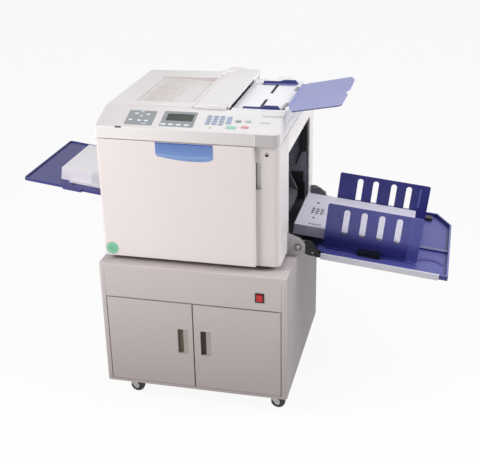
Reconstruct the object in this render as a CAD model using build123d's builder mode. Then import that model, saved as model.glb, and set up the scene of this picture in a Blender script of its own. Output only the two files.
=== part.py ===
# Digital duplicator on a rolling cabinet, built piece by piece in millimetres.
# The origin is on the floor under the middle of the cabinet.
# +X points towards the output tray, +Y to the rear and +Z up.
import os
from math import cos, radians, sin, tan

from build123d import *

os.makedirs("parts", exist_ok=True)

# Driving sizes of the cabinet
cabinet_width = 640.0
cabinet_depth = 620.0
cabinet_height = 455.0
caster_height = 68.0
side_panel = 18.0
corner_radius = 9.0
top_panel = 18.0
base_panel = 10.5
back_panel = 6.0
door_thickness = 16.0
door_gap = 1.5
door_middle_gap = 3.5
door_top_gap = 4.0
front_band_height = 103.0
shelf_thickness = 16.0
shelf_rise = 170.0
shelf_setback = 24.0
pull_width = 37.0
pull_height = 93.0
pull_depth = 10.0
pull_inset = 18.0
pull_rise = 127.0
pull_tongue = 17.0
pull_right_shift = 6.0
hinge_pin_radius = 3.5
hinge_pin_depth = 12.0
hinge_pin_inset = 6.0
running_clearance = 0.05

# Rocker switch in the cabinet's front band
switch_x = 229.5
switch_z = 447.5
switch_width = 30.0
switch_height = 34.0
switch_bezel = 2.0
switch_depth = 18.0
rocker_width = 20.0
rocker_height = 24.0
rocker_tilt = 8.0

# Casters
caster_x = 255.0
caster_y = 255.0
caster_plate_size = 60.0
caster_plate_thickness = 4.0
stem_radius = 6.0
fork_crown_radius = 21.0
fork_crown_height = 8.0
fork_crown_gap = 2.0
fork_cheek = 3.0
caster_trail = 25.0
wheel_radius = 25.0
wheel_width = 20.0
wheel_side_gap = 1.0
axle_radius = 4.0

# The machine's body
body_left = -305.0
body_right = 288.0
body_rear = 380.0
cover_front = -280.0
column_front = -265.0
body_foot_height = 18.0
body_height = 407.0
cover_wall = 4.0
side_wall = 5.0
foot_radius = 20.0
foot_inset_x = 72.0
pan_bottom = 3.0
pan_height = 8.0
seam = 3.0
frame_plate = 4.0
path_centre_y = 95.0
front_plate_y = -125.0
rear_plate_y = 290.0
outlet_rear = 302.0
column_rear = -117.0
outlet_head = 68.0
column_left = 212.5
column_radius = 20.0

# Front cover
cover_depth = 18.0
cover_shell = 3.5
cover_edge_radius = 6.0
cover_gap = 0.5
cover_hinge_x = 7.0
cover_hinge_y = 9.0
cover_pin_radius = 3.0
cover_pin_length = 12.0
cover_pin_plate = 3.0
cover_rib = 2.5
cover_rib_spacing = 130.0
grip_width = 16.0
grip_height = 88.0
grip_depth = 12.0
grip_top = 55.0
lock_x = 247.0
lock_drop = 26.0
lock_radius = 7.0

# Console
console_front_height = 40.0
console_back_height = 79.0
console_depth = 110.0
console_edge_radius = 6.0
panel_recess = 1.5
panel_thickness = 2.0
key_travel = 1.5
key_gap = 0.4
key_proud = 2.5
key_well = 6.0

# Scanner and platen
bed_height = 34.0
bed_wall = 4.0
bed_top_plate = 6.0
glass_length = 432.0
glass_width = 302.0
glass_thickness = 4.0
glass_ledge = 8.0
glass_gap = 0.3
glass_centre_x = -8.0
glass_centre_y = 22.0
rod_radius = 4.0
carriage_width = 34.0
carriage_height = 17.0

# Lid with its document feeder
lid_front = -168.5
lid_rear = 300.0
lid_gap = 2.0
lid_slab = 21.0
lid_left_top = 1029.0
lid_step_top = 1034.0
lid_left_rear = 290.0
lid_edge_radius = 6.0
lid_axis_y = 332.0
lid_axis_z = 1001.0
lid_lug_width = 24.0
lid_lug_radius = 10.0
lid_ear = 8.0
lid_ear_gap = 0.5
lid_pin_radius = 5.0
lid_hinge_x = 200.0
well_left = -14.0
well_right = 112.0
well_floor = 1003.0
well_wall = 6.0
well_wall_top = 1031.5
tray_low_z = 1029.0
tray_high_z = 1032.0
tray_back = 230.0
tray_border = 5.0
tray_border_top = 1035.2
recess_left = -221.0
recess_right = -21.0
recess_front = -122.0
recess_rear = 195.0
recess_shallow = 3.0
recess_deep = 16.0
recess_ribs = 9
recess_rib_length = 108.0
recess_rib_pitch = 23.0
recess_rib_height = 2.0
hump_front = 259.0
hump_top = 1049.0
feeder_front = -166.0
feeder_rear = 255.0
feeder_skin = 4.0
feeder_gap = 0.8
feeder_right = 111.0
feeder_barrel = 6.5
feeder_hinge_wall = 3.0
feeder_rise = 12.0
feeder_brow = 7.0
feeder_side = 35.0
feeder_axis_drop = 5.5
feeder_pin_radius = 2.5
feeder_lip_left = -5.0
feeder_lip_right = 97.0
feeder_lip_reach = 10.0
feeder_lip_drop = 7.0
feeder_lip_thickness = 8.7
feeder_mouth_end = 182.0
feeder_mouth_wall = 4.0
feed_roller_x = 84.0
feed_roller_z = 1021.0
feed_roller_radius = 11.0
feed_roller_length = 190.0
feed_shaft_radius = 4.0
guide_centre_y = 2.0
guide_gap = 310.0
guide_travel = 80.0
guide_left = 147.0
guide_right = 268.0
guide_wall = 9.0
guide_low = 8.0
guide_hump = 14.0
guide_lift = 0.3
guide_slot_x = 200.0
guide_slot_width = 6.0
guide_slot_depth = 7.0
guide_slot_reserve = 32.0
guide_tongue = 5.0
flap_axis_x = 290.0
flap_axis_z = 1038.0
flap_angle = 11.5
flap_length = 183.0
flap_thickness = 3.5
flap_front = -215.0
flap_rear = 135.0
flap_root_front = -150.0
flap_notch_y = -56.0
flap_notch_depth = 12.0
flap_barrel = 4.5
flap_pin = 2.5
flap_ear = 7.0
flap_ear_radius = 6.0

# Paper feed side
feed_tilt = 7.5
feed_floor_z = 670.5
feed_outer = 366.0
feed_outside = 12.0
feed_outside_rear = 328.0
feed_inner = 122.0
feed_half_width = 187.0
feed_plate = 6.0
feed_lip = 4.0
feed_lip_width = 5.0
feed_paper_width = 257.0
feed_paper_length = 364.0
feed_paper_height = 44.0
feed_paper_out = 249.0
feed_guide_wall = 4.0
feed_guide_height = 52.0
feed_guide_gap = 1.0
feed_guide_start = 22.0
feed_guide_length = 192.0
feed_guide_upright = 110.0
feed_guide_flange = 16.0
feed_lever_start = 146.0
feed_lever_length = 71.0
feed_lever_reach = 10.0
feed_guide_travel = 20.0
inlet_margin = 7.0
inlet_bottom = 590.0
inlet_top = 800.0
pickup_x = -215.0
pickup_radius = 16.0
pickup_length = 60.0
pickup_gap = 0.8
pickup_shaft = 5.0

# Printing section
nip_x = -10.0
nip_z = 690.0
drum_radius = 92.0
drum_skin = 4.0
drum_length = 300.0
drum_axle = 10.0
drum_disc = 6.0
press_radius = 30.0
press_gap = 0.4
press_axle = 8.0
roll_x = -190.0
roll_z = 880.0
roll_radius = 35.0
roll_length = 280.0
roll_core = 8.0
motor_x = 130.0
motor_z = 640.0
motor_radius = 38.0
motor_length = 62.0

# Output tray, in a frame that turns about its pivot: u runs outward, w is square to the floor
tray_pivot_x = 324.0
tray_pivot_z = 560.0
tray_tilt = 6.2
tray_front = -142.0
tray_rear = 370.0
tray_inner = 60.0
tray_outer = 497.0
tray_corner_u = 443.0
tray_corner_y = 283.0
tray_floor_w = -19.0
tray_floor_thickness = 4.0
tray_rim = 12.0
tray_rim_width = 6.0
rail_inner = 79.0
rail_outer = 468.0
rail_height = 19.0
rail_width = 9.0
arm_front = -134.0
arm_rear = 332.0
arm_thickness = 6.0
arm_boss = 13.0
arm_reach = 92.0
tray_pin_radius = 5.0
bracket_plate = 3.0
bracket_gap = 0.8
bracket_reach = 60.0
bracket_top = 598.0
bracket_bottom = 527.0
bed_inner = -28.0
bed_outer = 358.0
bed_width = 276.0
bed_top_w = 5.7
print_inner = -33.0
print_length = 395.0
print_width = 292.0
print_height = 37.0
fence_inner = 74.0
fence_length = 318.0
fence_height = 159.0
fence_thickness = 3.0
fence_spacing = 300.0
fence_slot_width = 20.0
fence_slot_height = 92.0
fence_slot_pitch = 58.5
fence_slot_first = 66.0
fence_slot_rise = 54.0
fence_rear_length = 325.0
fence_rear_slots = (76, 132, 197, 251)
fence_groove_place = 292.0
fence_foot = 14.0
fence_clip_length = 76.0
fence_clip_depth = 28.0
fence_lift = 0.3

# Heights and edges that follow from the driving sizes
cabinet_bottom_z = caster_height
cabinet_top_z = caster_height + cabinet_height
half_width = cabinet_width / 2
half_depth = cabinet_depth / 2
inner_half = half_width - side_panel
carcass_top = cabinet_top_z - top_panel
base_top = cabinet_bottom_z + base_panel
band_bottom = carcass_top - front_band_height
door_bottom = base_top + door_gap
door_top = band_bottom - door_top_gap
body_bottom = cabinet_top_z + body_foot_height
covers_top = body_bottom + body_height
upper_bottom = covers_top + seam
pan_left = body_left + cover_wall
pan_right = body_right - side_wall
pan_front = column_front + side_wall + 1
pan_rear = body_rear - cover_wall
plate_bottom = body_bottom + pan_bottom
console_rear = cover_front + console_depth
bed_top = upper_bottom + bed_height
drum_z = nip_z + drum_radius
feeder_left = well_left + feeder_gap
feeder_axis_x = feeder_left + feeder_barrel
feeder_axis_z = lid_step_top - feeder_axis_drop
feeder_left_top = feeder_axis_z + feeder_barrel
feeder_right_top = feeder_left_top + feeder_rise
feeder_mouth_z = feeder_right_top - feeder_brow
feeder_skirt_z = feeder_right_top - feeder_side
press_z = nip_z - press_gap - press_radius
feed_slope = tan(radians(feed_tilt))


def block(x0, x1, y0, y1, z0, z1, mode=Mode.ADD):
    """Adds or cuts one straight block, given by its six faces."""
    with Locations(((x0 + x1) / 2, (y0 + y1) / 2, (z0 + z1) / 2)):
        Box(x1 - x0, y1 - y0, z1 - z0, mode=mode)


def rod(x, y0, y1, z, radius, mode=Mode.ADD):
    """Adds or bores a round bar that runs front to back."""
    with Locations(Location((x, (y0 + y1) / 2, z), (90, 0, 0))):
        Cylinder(radius, abs(y1 - y0), mode=mode)


# Cabinet: two side panels with a rounded front edge
with BuildPart() as cabinet_left_panel:
    block(-half_width, -inner_half, -half_depth, half_depth, cabinet_bottom_z, carcass_top)
    outer_edge = cabinet_left_panel.edges().filter_by(Axis.Z).group_by(Axis.Y)[0].sort_by(Axis.X)[0]
    fillet(outer_edge, corner_radius)
cabinet_left_panel.part.label = "cabinet_left_panel"
export_step(cabinet_left_panel.part, "parts/cabinet_left_panel.step")

with BuildPart() as cabinet_right_panel:
    add(cabinet_left_panel.part.mirror(Plane.YZ))
cabinet_right_panel.part.label = "cabinet_right_panel"
export_step(cabinet_right_panel.part, "parts/cabinet_right_panel.step")

# Cabinet top, with the same rounded corners and a softened front edge
with BuildPart() as cabinet_top:
    block(-half_width, half_width, -half_depth, half_depth, carcass_top, cabinet_top_z)
    fillet(cabinet_top.edges().filter_by(Axis.Z).group_by(Axis.Y)[0], corner_radius)
    fillet(cabinet_top.edges().group_by(Axis.Z)[-1].group_by(Axis.Y)[0], 2.5)
cabinet_top.part.label = "cabinet_top"
export_step(cabinet_top.part, "parts/cabinet_top.step")

with BuildPart() as cabinet_base:
    block(-inner_half, inner_half, -half_depth, half_depth - back_panel, cabinet_bottom_z, base_top)
cabinet_base.part.label = "cabinet_base"
export_step(cabinet_base.part, "parts/cabinet_base.step")

# Back panel with a row of air slots near its top
with BuildPart() as cabinet_back:
    block(-inner_half, inner_half, half_depth - back_panel, half_depth, cabinet_bottom_z, carcass_top)
    with BuildSketch(Plane.XZ.offset(-half_depth)):
        with Locations((0, carcass_top - 50)):
            with GridLocations(40, 0, 9, 1):
                SlotOverall(36, 5, rotation=90)
    extrude(amount=back_panel, mode=Mode.SUBTRACT)
cabinet_back.part.label = "cabinet_back"
export_step(cabinet_back.part, "parts/cabinet_back.step")

# Front band, with the square hole that the rocker switch clips into
with BuildPart() as cabinet_front_band:
    block(-inner_half, inner_half, -half_depth, -half_depth + door_thickness, band_bottom, carcass_top)
    block(
        switch_x - switch_width / 2 + 3, switch_x + switch_width / 2 - 3,
        -half_depth, -half_depth + door_thickness,
        switch_z - switch_height / 2 + 3, switch_z + switch_height / 2 - 3, Mode.SUBTRACT)
    front_ring = cabinet_front_band.faces().sort_by(Axis.Y)[0].outer_wire().edges()
    chamfer(front_ring, 1)
cabinet_front_band.part.label = "cabinet_front_band"
export_step(cabinet_front_band.part, "parts/cabinet_front_band.step")

with BuildPart() as cabinet_shelf:
    shelf_z = base_top + shelf_rise
    block(
        -inner_half, inner_half,
        -half_depth + door_thickness + shelf_setback, half_depth - back_panel,
        shelf_z - shelf_thickness, shelf_z)
cabinet_shelf.part.label = "cabinet_shelf"
export_step(cabinet_shelf.part, "parts/cabinet_shelf.step")

# Doors: flush slabs with a bored hinge edge and a recessed pull near the middle gap
hinge_x = inner_half - door_gap - hinge_pin_inset
hinge_y = -half_depth + hinge_pin_inset
pull_z = door_bottom + pull_rise + pull_height / 2


def sink_pull(middle_x):
    """Sinks a finger pull in a door's face: its slot is at the left, behind the tongue at the right."""
    with BuildSketch(Plane.XZ.offset(half_depth)) as pull_outline:
        with Locations((middle_x, pull_z)):
            RectangleRounded(pull_width, pull_height, 4)
    extrude(pull_outline.sketch, amount=-pull_depth, mode=Mode.SUBTRACT)
    tongue_right = middle_x + pull_width / 2
    block(
        tongue_right - pull_tongue, tongue_right, 2 - half_depth, 4.5 - half_depth,
        pull_z - pull_height / 2, pull_z + pull_height / 2)


with BuildPart() as door_slab:
    door_x0 = -inner_half + door_gap
    door_x1 = -door_middle_gap / 2
    block(door_x0, door_x1, -half_depth, -half_depth + door_thickness, door_bottom, door_top)
    swing_edge = door_slab.edges().filter_by(Axis.Z).group_by(Axis.Y)[0]
    fillet(swing_edge.sort_by(Axis.X)[0], 4)
    fillet(swing_edge.sort_by(Axis.X)[-1], 2)
    pull_x = door_x1 - pull_inset - pull_width / 2 + 1.5
    with Locations((-hinge_x, hinge_y, (door_bottom + door_top) / 2)):
        Cylinder(hinge_pin_radius + running_clearance, door_top - door_bottom, mode=Mode.SUBTRACT)

with BuildPart() as door_left:
    add(door_slab.part)
    sink_pull(pull_x)
door_left.part.label = "door_left"
export_step(door_left.part, "parts/door_left.step")

with BuildPart() as door_right:
    add(door_slab.part.mirror(Plane.YZ))
    sink_pull(pull_right_shift - pull_x)
door_right.part.label = "door_right"
export_step(door_right.part, "parts/door_right.step")

# Casters: a fixed plate with its stem, a fork that swivels on the stem, and a wheel on the fork's axle
corners = {
    "front_left": (-caster_x, -caster_y),
    "front_right": (caster_x, -caster_y),
    "rear_left": (-caster_x, caster_y),
    "rear_right": (caster_x, caster_y),
}
plate_z = cabinet_bottom_z - caster_plate_thickness
crown_z = plate_z - fork_crown_gap
cheek_inner = wheel_width / 2 + wheel_side_gap
with BuildPart() as caster_plates:
    with Locations(*[(x, y, plate_z + caster_plate_thickness / 2) for x, y in corners.values()]):
        Box(caster_plate_size, caster_plate_size, caster_plate_thickness)
    fillet(caster_plates.edges().filter_by(Axis.Z), 6)
    stem_z = plate_z - (fork_crown_gap + fork_crown_height) / 2
    with Locations(*[(x, y, stem_z) for x, y in corners.values()]):
        Cylinder(stem_radius, fork_crown_gap + fork_crown_height)
caster_plates.part.label = "caster_plates"
export_step(caster_plates.part, "parts/caster_plates.step")

for corner, (stem_x, stem_y) in corners.items():
    axle_x = stem_x + caster_trail
    with BuildPart() as caster_fork:
        with Locations((stem_x, stem_y, crown_z - fork_crown_height / 2)):
            Cylinder(fork_crown_radius, fork_crown_height)
        with BuildSketch(Plane.XZ.offset(-stem_y - cheek_inner - fork_cheek)):
            with BuildLine():
                Polyline(
                    (stem_x - fork_crown_radius * 0.6, crown_z - 1),
                    (stem_x + fork_crown_radius * 0.6, crown_z - 1),
                    (axle_x + 9, wheel_radius + 4),
                    (axle_x + 5, wheel_radius - 9),
                    (axle_x - 6, wheel_radius - 9),
                    close=True)
            make_face()
        extrude(amount=2 * (cheek_inner + fork_cheek))
        fillet(caster_fork.edges().filter_by(Axis.Y).group_by(Axis.Z)[0], 4)
        block(
            stem_x - 40, axle_x + 40, stem_y - cheek_inner, stem_y + cheek_inner,
            0, crown_z - fork_crown_height, Mode.SUBTRACT)
        rod(
            axle_x, stem_y - cheek_inner - fork_cheek - 1,
            stem_y + cheek_inner + fork_cheek + 1, wheel_radius, axle_radius)
        with Locations((stem_x, stem_y, crown_z - fork_crown_height / 2)):
            Cylinder(stem_radius + running_clearance, fork_crown_height, mode=Mode.SUBTRACT)
    caster_fork.part.label = "caster_fork_" + corner
    export_step(caster_fork.part, "parts/caster_fork_" + corner + ".step")

    with BuildPart() as caster_wheel:
        with BuildSketch(Plane.XY.offset(wheel_radius)):
            with BuildLine():
                Polyline(
                    (axle_x + axle_radius + running_clearance, stem_y - wheel_width / 2),
                    (axle_x + 9, stem_y - wheel_width / 2),
                    (axle_x + 11, stem_y - wheel_width / 2 + 3),
                    (axle_x + wheel_radius - 7, stem_y - wheel_width / 2 + 3),
                    (axle_x + wheel_radius - 4, stem_y - wheel_width / 2))
                Polyline(
                    (axle_x + wheel_radius - 4, stem_y - wheel_width / 2),
                    (axle_x + wheel_radius - 1, stem_y - wheel_width / 2 + 3),
                    (axle_x + wheel_radius, stem_y - 3),
                    (axle_x + wheel_radius, stem_y + 3),
                    (axle_x + wheel_radius - 1, stem_y + wheel_width / 2 - 3),
                    (axle_x + wheel_radius - 4, stem_y + wheel_width / 2))
                Polyline(
                    (axle_x + wheel_radius - 4, stem_y + wheel_width / 2),
                    (axle_x + wheel_radius - 7, stem_y + wheel_width / 2 - 3),
                    (axle_x + 11, stem_y + wheel_width / 2 - 3),
                    (axle_x + 9, stem_y + wheel_width / 2),
                    (axle_x + axle_radius + running_clearance, stem_y + wheel_width / 2),
                    (axle_x + axle_radius + running_clearance, stem_y - wheel_width / 2))
            make_face()
        revolve(axis=Axis((axle_x, 0, wheel_radius), (0, 1, 0)))
    caster_wheel.part.label = "caster_wheel_" + corner
    export_step(caster_wheel.part, "parts/caster_wheel_" + corner + ".step")

# Rocker switch: a bezel with a deep hollow, and the rocker resting on its lower edge
with BuildPart() as switch_frame:
    with BuildSketch(Plane.XZ.offset(half_depth)):
        with Locations((switch_x, switch_z)):
            RectangleRounded(switch_width, switch_height, 2)
    extrude(amount=switch_bezel)
    with BuildSketch(Plane.XZ.offset(half_depth)):
        with Locations((switch_x, switch_z)):
            Rectangle(switch_width - 6.6, switch_height - 6.6)
    extrude(amount=-switch_depth)
    with BuildSketch(Plane.XZ.offset(half_depth + switch_bezel)):
        with Locations((switch_x, switch_z)):
            Rectangle(rocker_width + 1, rocker_height + 2.6)
    extrude(amount=-(switch_depth + switch_bezel - 2), mode=Mode.SUBTRACT)
switch_frame.part.label = "switch_frame"
export_step(switch_frame.part, "parts/switch_frame.step")

rocker_plane = Plane(
    origin=(switch_x, -half_depth, switch_z), x_dir=(1, 0, 0), z_dir=(0, -1, 0)).rotated((rocker_tilt, 0, 0))
with BuildPart() as switch_rocker:
    with BuildSketch(Plane(rocker_plane.origin, x_dir=rocker_plane.y_dir, z_dir=rocker_plane.x_dir)):
        with BuildLine():
            Polyline(
                (-rocker_height / 2, 4.5), (0, 2.2), (rocker_height / 2, 4.5),
                (rocker_height / 2, -3), (4, -9), (-4, -9), (-rocker_height / 2, -3), close=True)
        make_face()
    extrude(amount=rocker_width / 2, both=True)
switch_rocker.part.label = "switch_rocker"
export_step(switch_rocker.part, "parts/switch_rocker.step")

# Machine feet and base pan
foot_places = [
    (body_left + foot_inset_x, -half_depth + 100), (body_right - foot_inset_x, -half_depth + 100),
    (body_left + foot_inset_x, half_depth - 70), (body_right - foot_inset_x, half_depth - 70)]
with BuildPart() as machine_feet:
    with Locations(*[(x, y, cabinet_top_z + body_foot_height / 2) for x, y in foot_places]):
        Cone(foot_radius, foot_radius - 3, body_foot_height)
machine_feet.part.label = "machine_feet"
export_step(machine_feet.part, "parts/machine_feet.step")

with BuildPart() as base_pan:
    block(pan_left, pan_right, pan_front, pan_rear, body_bottom, body_bottom + pan_height)
    fillet(base_pan.edges().filter_by(Axis.Z), column_radius - side_wall + 2)
    offset(amount=-pan_bottom, openings=base_pan.faces().sort_by(Axis.Z)[-1])
base_pan.part.label = "base_pan"
export_step(base_pan.part, "parts/base_pan.step")

# The two plates that carry the printing section
window_z = (plate_bottom + upper_bottom) / 2
with BuildPart() as front_frame_plate:
    block(
        pan_left + 8, pan_right - 6, front_plate_y, front_plate_y + frame_plate,
        plate_bottom, upper_bottom)
    with BuildSketch(Plane.XZ.offset(-front_plate_y)):
        # windows that lighten the plate, clear of the three shafts
        with Locations((nip_x, drum_z)):
            with PolarLocations(drum_radius * 0.62, 5, start_angle=90):
                Circle(drum_radius * 0.22)
        with Locations((205, window_z + 90)):
            RectangleRounded(90, 130, 14)
        with Locations((-205, window_z - 110)):
            RectangleRounded(100, 70, 14)
    extrude(amount=-frame_plate, mode=Mode.SUBTRACT)
    with BuildSketch(Plane.XZ.offset(-front_plate_y)):
        with Locations((nip_x, drum_z)):
            Circle(24)
        with Locations((nip_x, press_z)):
            Circle(16)
    extrude(amount=6)
    rod(nip_x, front_plate_y - 10, front_plate_y + 10, drum_z, drum_axle + running_clearance, Mode.SUBTRACT)
    rod(nip_x, front_plate_y - 10, front_plate_y + 10, press_z, press_axle + running_clearance, Mode.SUBTRACT)
    rod(roll_x, front_plate_y - 10, front_plate_y + 10, roll_z, roll_core + running_clearance, Mode.SUBTRACT)
    stack_rise = feed_paper_height / cos(radians(feed_tilt))
    stack_top_at_pickup = feed_floor_z + (body_left - pickup_x) * feed_slope + stack_rise
    pickup_z = stack_top_at_pickup + pickup_radius + pickup_gap
    rod(
        pickup_x, front_plate_y - 10, front_plate_y + 10, pickup_z,
        pickup_shaft + running_clearance, Mode.SUBTRACT)
front_frame_plate.part.label = "front_frame_plate"
export_step(front_frame_plate.part, "parts/front_frame_plate.step")

with BuildPart() as rear_frame_plate:
    block(
        pan_left + 8, pan_right - 4, rear_plate_y, rear_plate_y + frame_plate,
        plate_bottom, upper_bottom)
    with BuildSketch(Plane.XZ.offset(-rear_plate_y)):
        with Locations((-205, window_z - 110)):
            RectangleRounded(100, 70, 14)
    extrude(amount=-frame_plate, mode=Mode.SUBTRACT)
    with BuildSketch(Plane.XZ.offset(-rear_plate_y)):
        with Locations((nip_x, drum_z)):
            Circle(24)
        with Locations((nip_x, press_z)):
            Circle(16)
    extrude(amount=6)
    rod(nip_x, rear_plate_y - 10, rear_plate_y + 10, drum_z, drum_axle + running_clearance, Mode.SUBTRACT)
    rod(nip_x, rear_plate_y - 10, rear_plate_y + 10, press_z, press_axle + running_clearance, Mode.SUBTRACT)
    rod(roll_x, rear_plate_y - 10, rear_plate_y + 10, roll_z, roll_core + running_clearance, Mode.SUBTRACT)
    rod(
        pickup_x, rear_plate_y - 10, rear_plate_y + 10, pickup_z,
        pickup_shaft + running_clearance, Mode.SUBTRACT)
rear_frame_plate.part.label = "rear_frame_plate"
export_step(rear_frame_plate.part, "parts/rear_frame_plate.step")

# Print drum: a thin skin on two spoked end discs and one axle
shaft_front = front_plate_y - 9
shaft_rear = rear_plate_y + frame_plate + 5
drum_front = path_centre_y - drum_length / 2
drum_rear = path_centre_y + drum_length / 2
with BuildPart() as print_drum:
    rod(nip_x, drum_front, drum_rear, drum_z, drum_radius)
    rod(nip_x, drum_front + drum_disc, drum_rear - drum_disc, drum_z, drum_radius - drum_skin, Mode.SUBTRACT)
    with BuildSketch(Plane.XZ.offset(-drum_front)):
        with Locations((nip_x, drum_z)):
            with PolarLocations(drum_radius * 0.55, 5):
                Circle(drum_radius * 0.24)
    extrude(amount=-drum_length, mode=Mode.SUBTRACT)
    rod(nip_x, shaft_front, shaft_rear, drum_z, drum_axle)
print_drum.part.label = "print_drum"
export_step(print_drum.part, "parts/print_drum.step")

with BuildPart() as pressure_roller:
    rod(nip_x, drum_front, drum_rear, press_z, press_radius)
    fillet(pressure_roller.edges().filter_by(GeomType.CIRCLE), 3)
    rod(nip_x, shaft_front, shaft_rear, press_z, press_axle)
pressure_roller.part.label = "pressure_roller"
export_step(pressure_roller.part, "parts/pressure_roller.step")

with BuildPart() as master_roll:
    rod(roll_x, path_centre_y - roll_length / 2, path_centre_y + roll_length / 2, roll_z, roll_radius)
    rod(
        roll_x, path_centre_y - roll_length / 2 - 8,
        path_centre_y + roll_length / 2 + 8, roll_z, roll_core + 6)
    rod(roll_x, front_plate_y - 2, rear_plate_y + frame_plate + 2, roll_z, roll_core)
master_roll.part.label = "master_roll"
export_step(master_roll.part, "parts/master_roll.step")

with BuildPart() as pickup_roller:
    rod(
        pickup_x, path_centre_y - pickup_length / 2,
        path_centre_y + pickup_length / 2, pickup_z, pickup_radius)
    fillet(pickup_roller.edges().filter_by(GeomType.CIRCLE), 2)
    rod(pickup_x, front_plate_y - 2, rear_plate_y + frame_plate + 2, pickup_z, pickup_shaft)
pickup_roller.part.label = "pickup_roller"
export_step(pickup_roller.part, "parts/pickup_roller.step")

# Main motor behind the rear plate, with its flange and its shaft stub
with BuildPart() as main_motor:
    rod(motor_x, rear_plate_y + frame_plate, rear_plate_y + frame_plate + motor_length, motor_z, motor_radius)
    rear_ring = main_motor.edges().filter_by(GeomType.CIRCLE).sort_by(Axis.Y)[-1]
    fillet(rear_ring, 5)
    with BuildSketch(Plane.XZ.offset(-rear_plate_y - frame_plate)):
        with Locations((motor_x, motor_z)):
            RectangleRounded(2 * motor_radius + 10, 2 * motor_radius + 10, 8)
    extrude(amount=-5)
main_motor.part.label = "main_motor"
export_step(main_motor.part, "parts/main_motor.step")

# Ejection unit: a sloping belt table with two raised wings that bow each print as it flies out
eject_left = 95.0
eject_right = 257.0
eject_high = 681.0
eject_low = 622.0
eject_front = -25.0
eject_back = 215.0
wing_height = 58.0
with BuildPart() as ejection_unit:
    with BuildSketch(Plane.XZ.offset(-eject_front)):
        with BuildLine():
            Polyline(
                (eject_left, eject_high), (eject_right, eject_low), (eject_right, eject_low - 26),
                (eject_left + 40, eject_low - 26), (eject_left, eject_high - 30), close=True)
        make_face()
    extrude(amount=-(eject_back - eject_front))
    with BuildSketch(Plane.XZ.offset(-eject_front + 9)):
        with BuildLine():
            Polyline(
                (eject_right - 62, eject_low - 20), (eject_right - 40, eject_low + wing_height),
                (eject_right - 26, eject_low + wing_height + 6), (eject_right, eject_low + 8),
                (eject_right, eject_low - 24), close=True)
        make_face()
    extrude(amount=-9)
    with BuildSketch(Plane.XZ.offset(-eject_back)):
        with BuildLine():
            Polyline(
                (eject_right - 62, eject_low - 20), (eject_right - 40, eject_low + wing_height),
                (eject_right - 26, eject_low + wing_height + 6), (eject_right, eject_low + 8),
                (eject_right, eject_low - 24), close=True)
        make_face()
    extrude(amount=-9)
    # feet that stand on the pan
    for foot_y in (eject_front + 6, eject_back - 12):
        block(eject_left + 60, eject_right - 40, foot_y, foot_y + 6, plate_bottom, eject_low - 20)
ejection_unit.part.label = "ejection_unit"
export_step(ejection_unit.part, "parts/ejection_unit.step")

# Left cover, with the tall opening that the feed tray rises and falls in
inlet_front = path_centre_y - feed_half_width - inlet_margin
inlet_rear = path_centre_y + feed_half_width + inlet_margin
with BuildPart() as left_cover:
    block(body_left, pan_left, pan_front, body_rear, body_bottom, covers_top)
    with BuildSketch(Plane.YZ.offset(body_left)):
        with Locations(((inlet_front + inlet_rear) / 2, (inlet_bottom + inlet_top) / 2)):
            RectangleRounded(inlet_rear - inlet_front, inlet_top - inlet_bottom, 8)
    extrude(amount=cover_wall, mode=Mode.SUBTRACT)
    # a raised rib around the opening stiffens it on the inside
    with BuildSketch(Plane.YZ.offset(pan_left)):
        with Locations(((inlet_front + inlet_rear) / 2, (inlet_bottom + inlet_top) / 2)):
            RectangleRounded(inlet_rear - inlet_front + 10, inlet_top - inlet_bottom + 10, 10)
            RectangleRounded(inlet_rear - inlet_front, inlet_top - inlet_bottom, 8, mode=Mode.SUBTRACT)
    extrude(amount=2)
left_cover.part.label = "left_cover"
export_step(left_cover.part, "parts/left_cover.step")

# Right cover: a head strip over the paper outlet and a strip behind it
outlet_top = covers_top - outlet_head
with BuildPart() as right_cover:
    with BuildSketch(Plane.YZ.offset(pan_right)):
        with BuildLine():
            Polyline(
                (column_rear, covers_top), (body_rear, covers_top), (body_rear, body_bottom),
                (outlet_rear, body_bottom), (outlet_rear, outlet_top), (column_rear, outlet_top), close=True)
        make_face()
    extrude(amount=side_wall)
    along_x = right_cover.edges().filter_by(Axis.X)
    inner_corner = along_x.filter_by_position(Axis.Y, outlet_rear - 1, outlet_rear + 1)
    fillet(inner_corner.sort_by(Axis.Z)[-1], 5)
right_cover.part.label = "right_cover"
export_step(right_cover.part, "parts/right_cover.step")

# Rear cover, with two fields of air slots and the recess of the mains inlet
with BuildPart() as rear_cover:
    block(pan_left, pan_right, pan_rear, body_rear, body_bottom + pan_height, covers_top)
    with BuildSketch(Plane.XZ.offset(-body_rear)):
        with Locations((-150, window_z + 110), (140, window_z - 60)):
            with GridLocations(0, 14, 1, 9):
                SlotOverall(150, 6)
        with Locations((-230, window_z - 160)):
            Rectangle(34, 26)
    extrude(amount=cover_wall, mode=Mode.SUBTRACT)
    inlet_x = -230
    inlet_z = window_z - 160
    block(inlet_x - 20, inlet_x + 20, pan_rear - 20, pan_rear, inlet_z - 16, inlet_z + 16)
    block(inlet_x - 12, inlet_x + 12, pan_rear - 17, body_rear + 1, inlet_z - 8, inlet_z + 8, Mode.SUBTRACT)
    contacts = ((-6, -2), (6, -2), (0, 3))
    with Locations(*[Location((inlet_x + dx, pan_rear - 9, inlet_z + dz), (90, 0, 0)) for dx, dz in contacts]):
        Box(2, 4, 18)
rear_cover.part.label = "rear_cover"
export_step(rear_cover.part, "parts/rear_cover.step")

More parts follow.
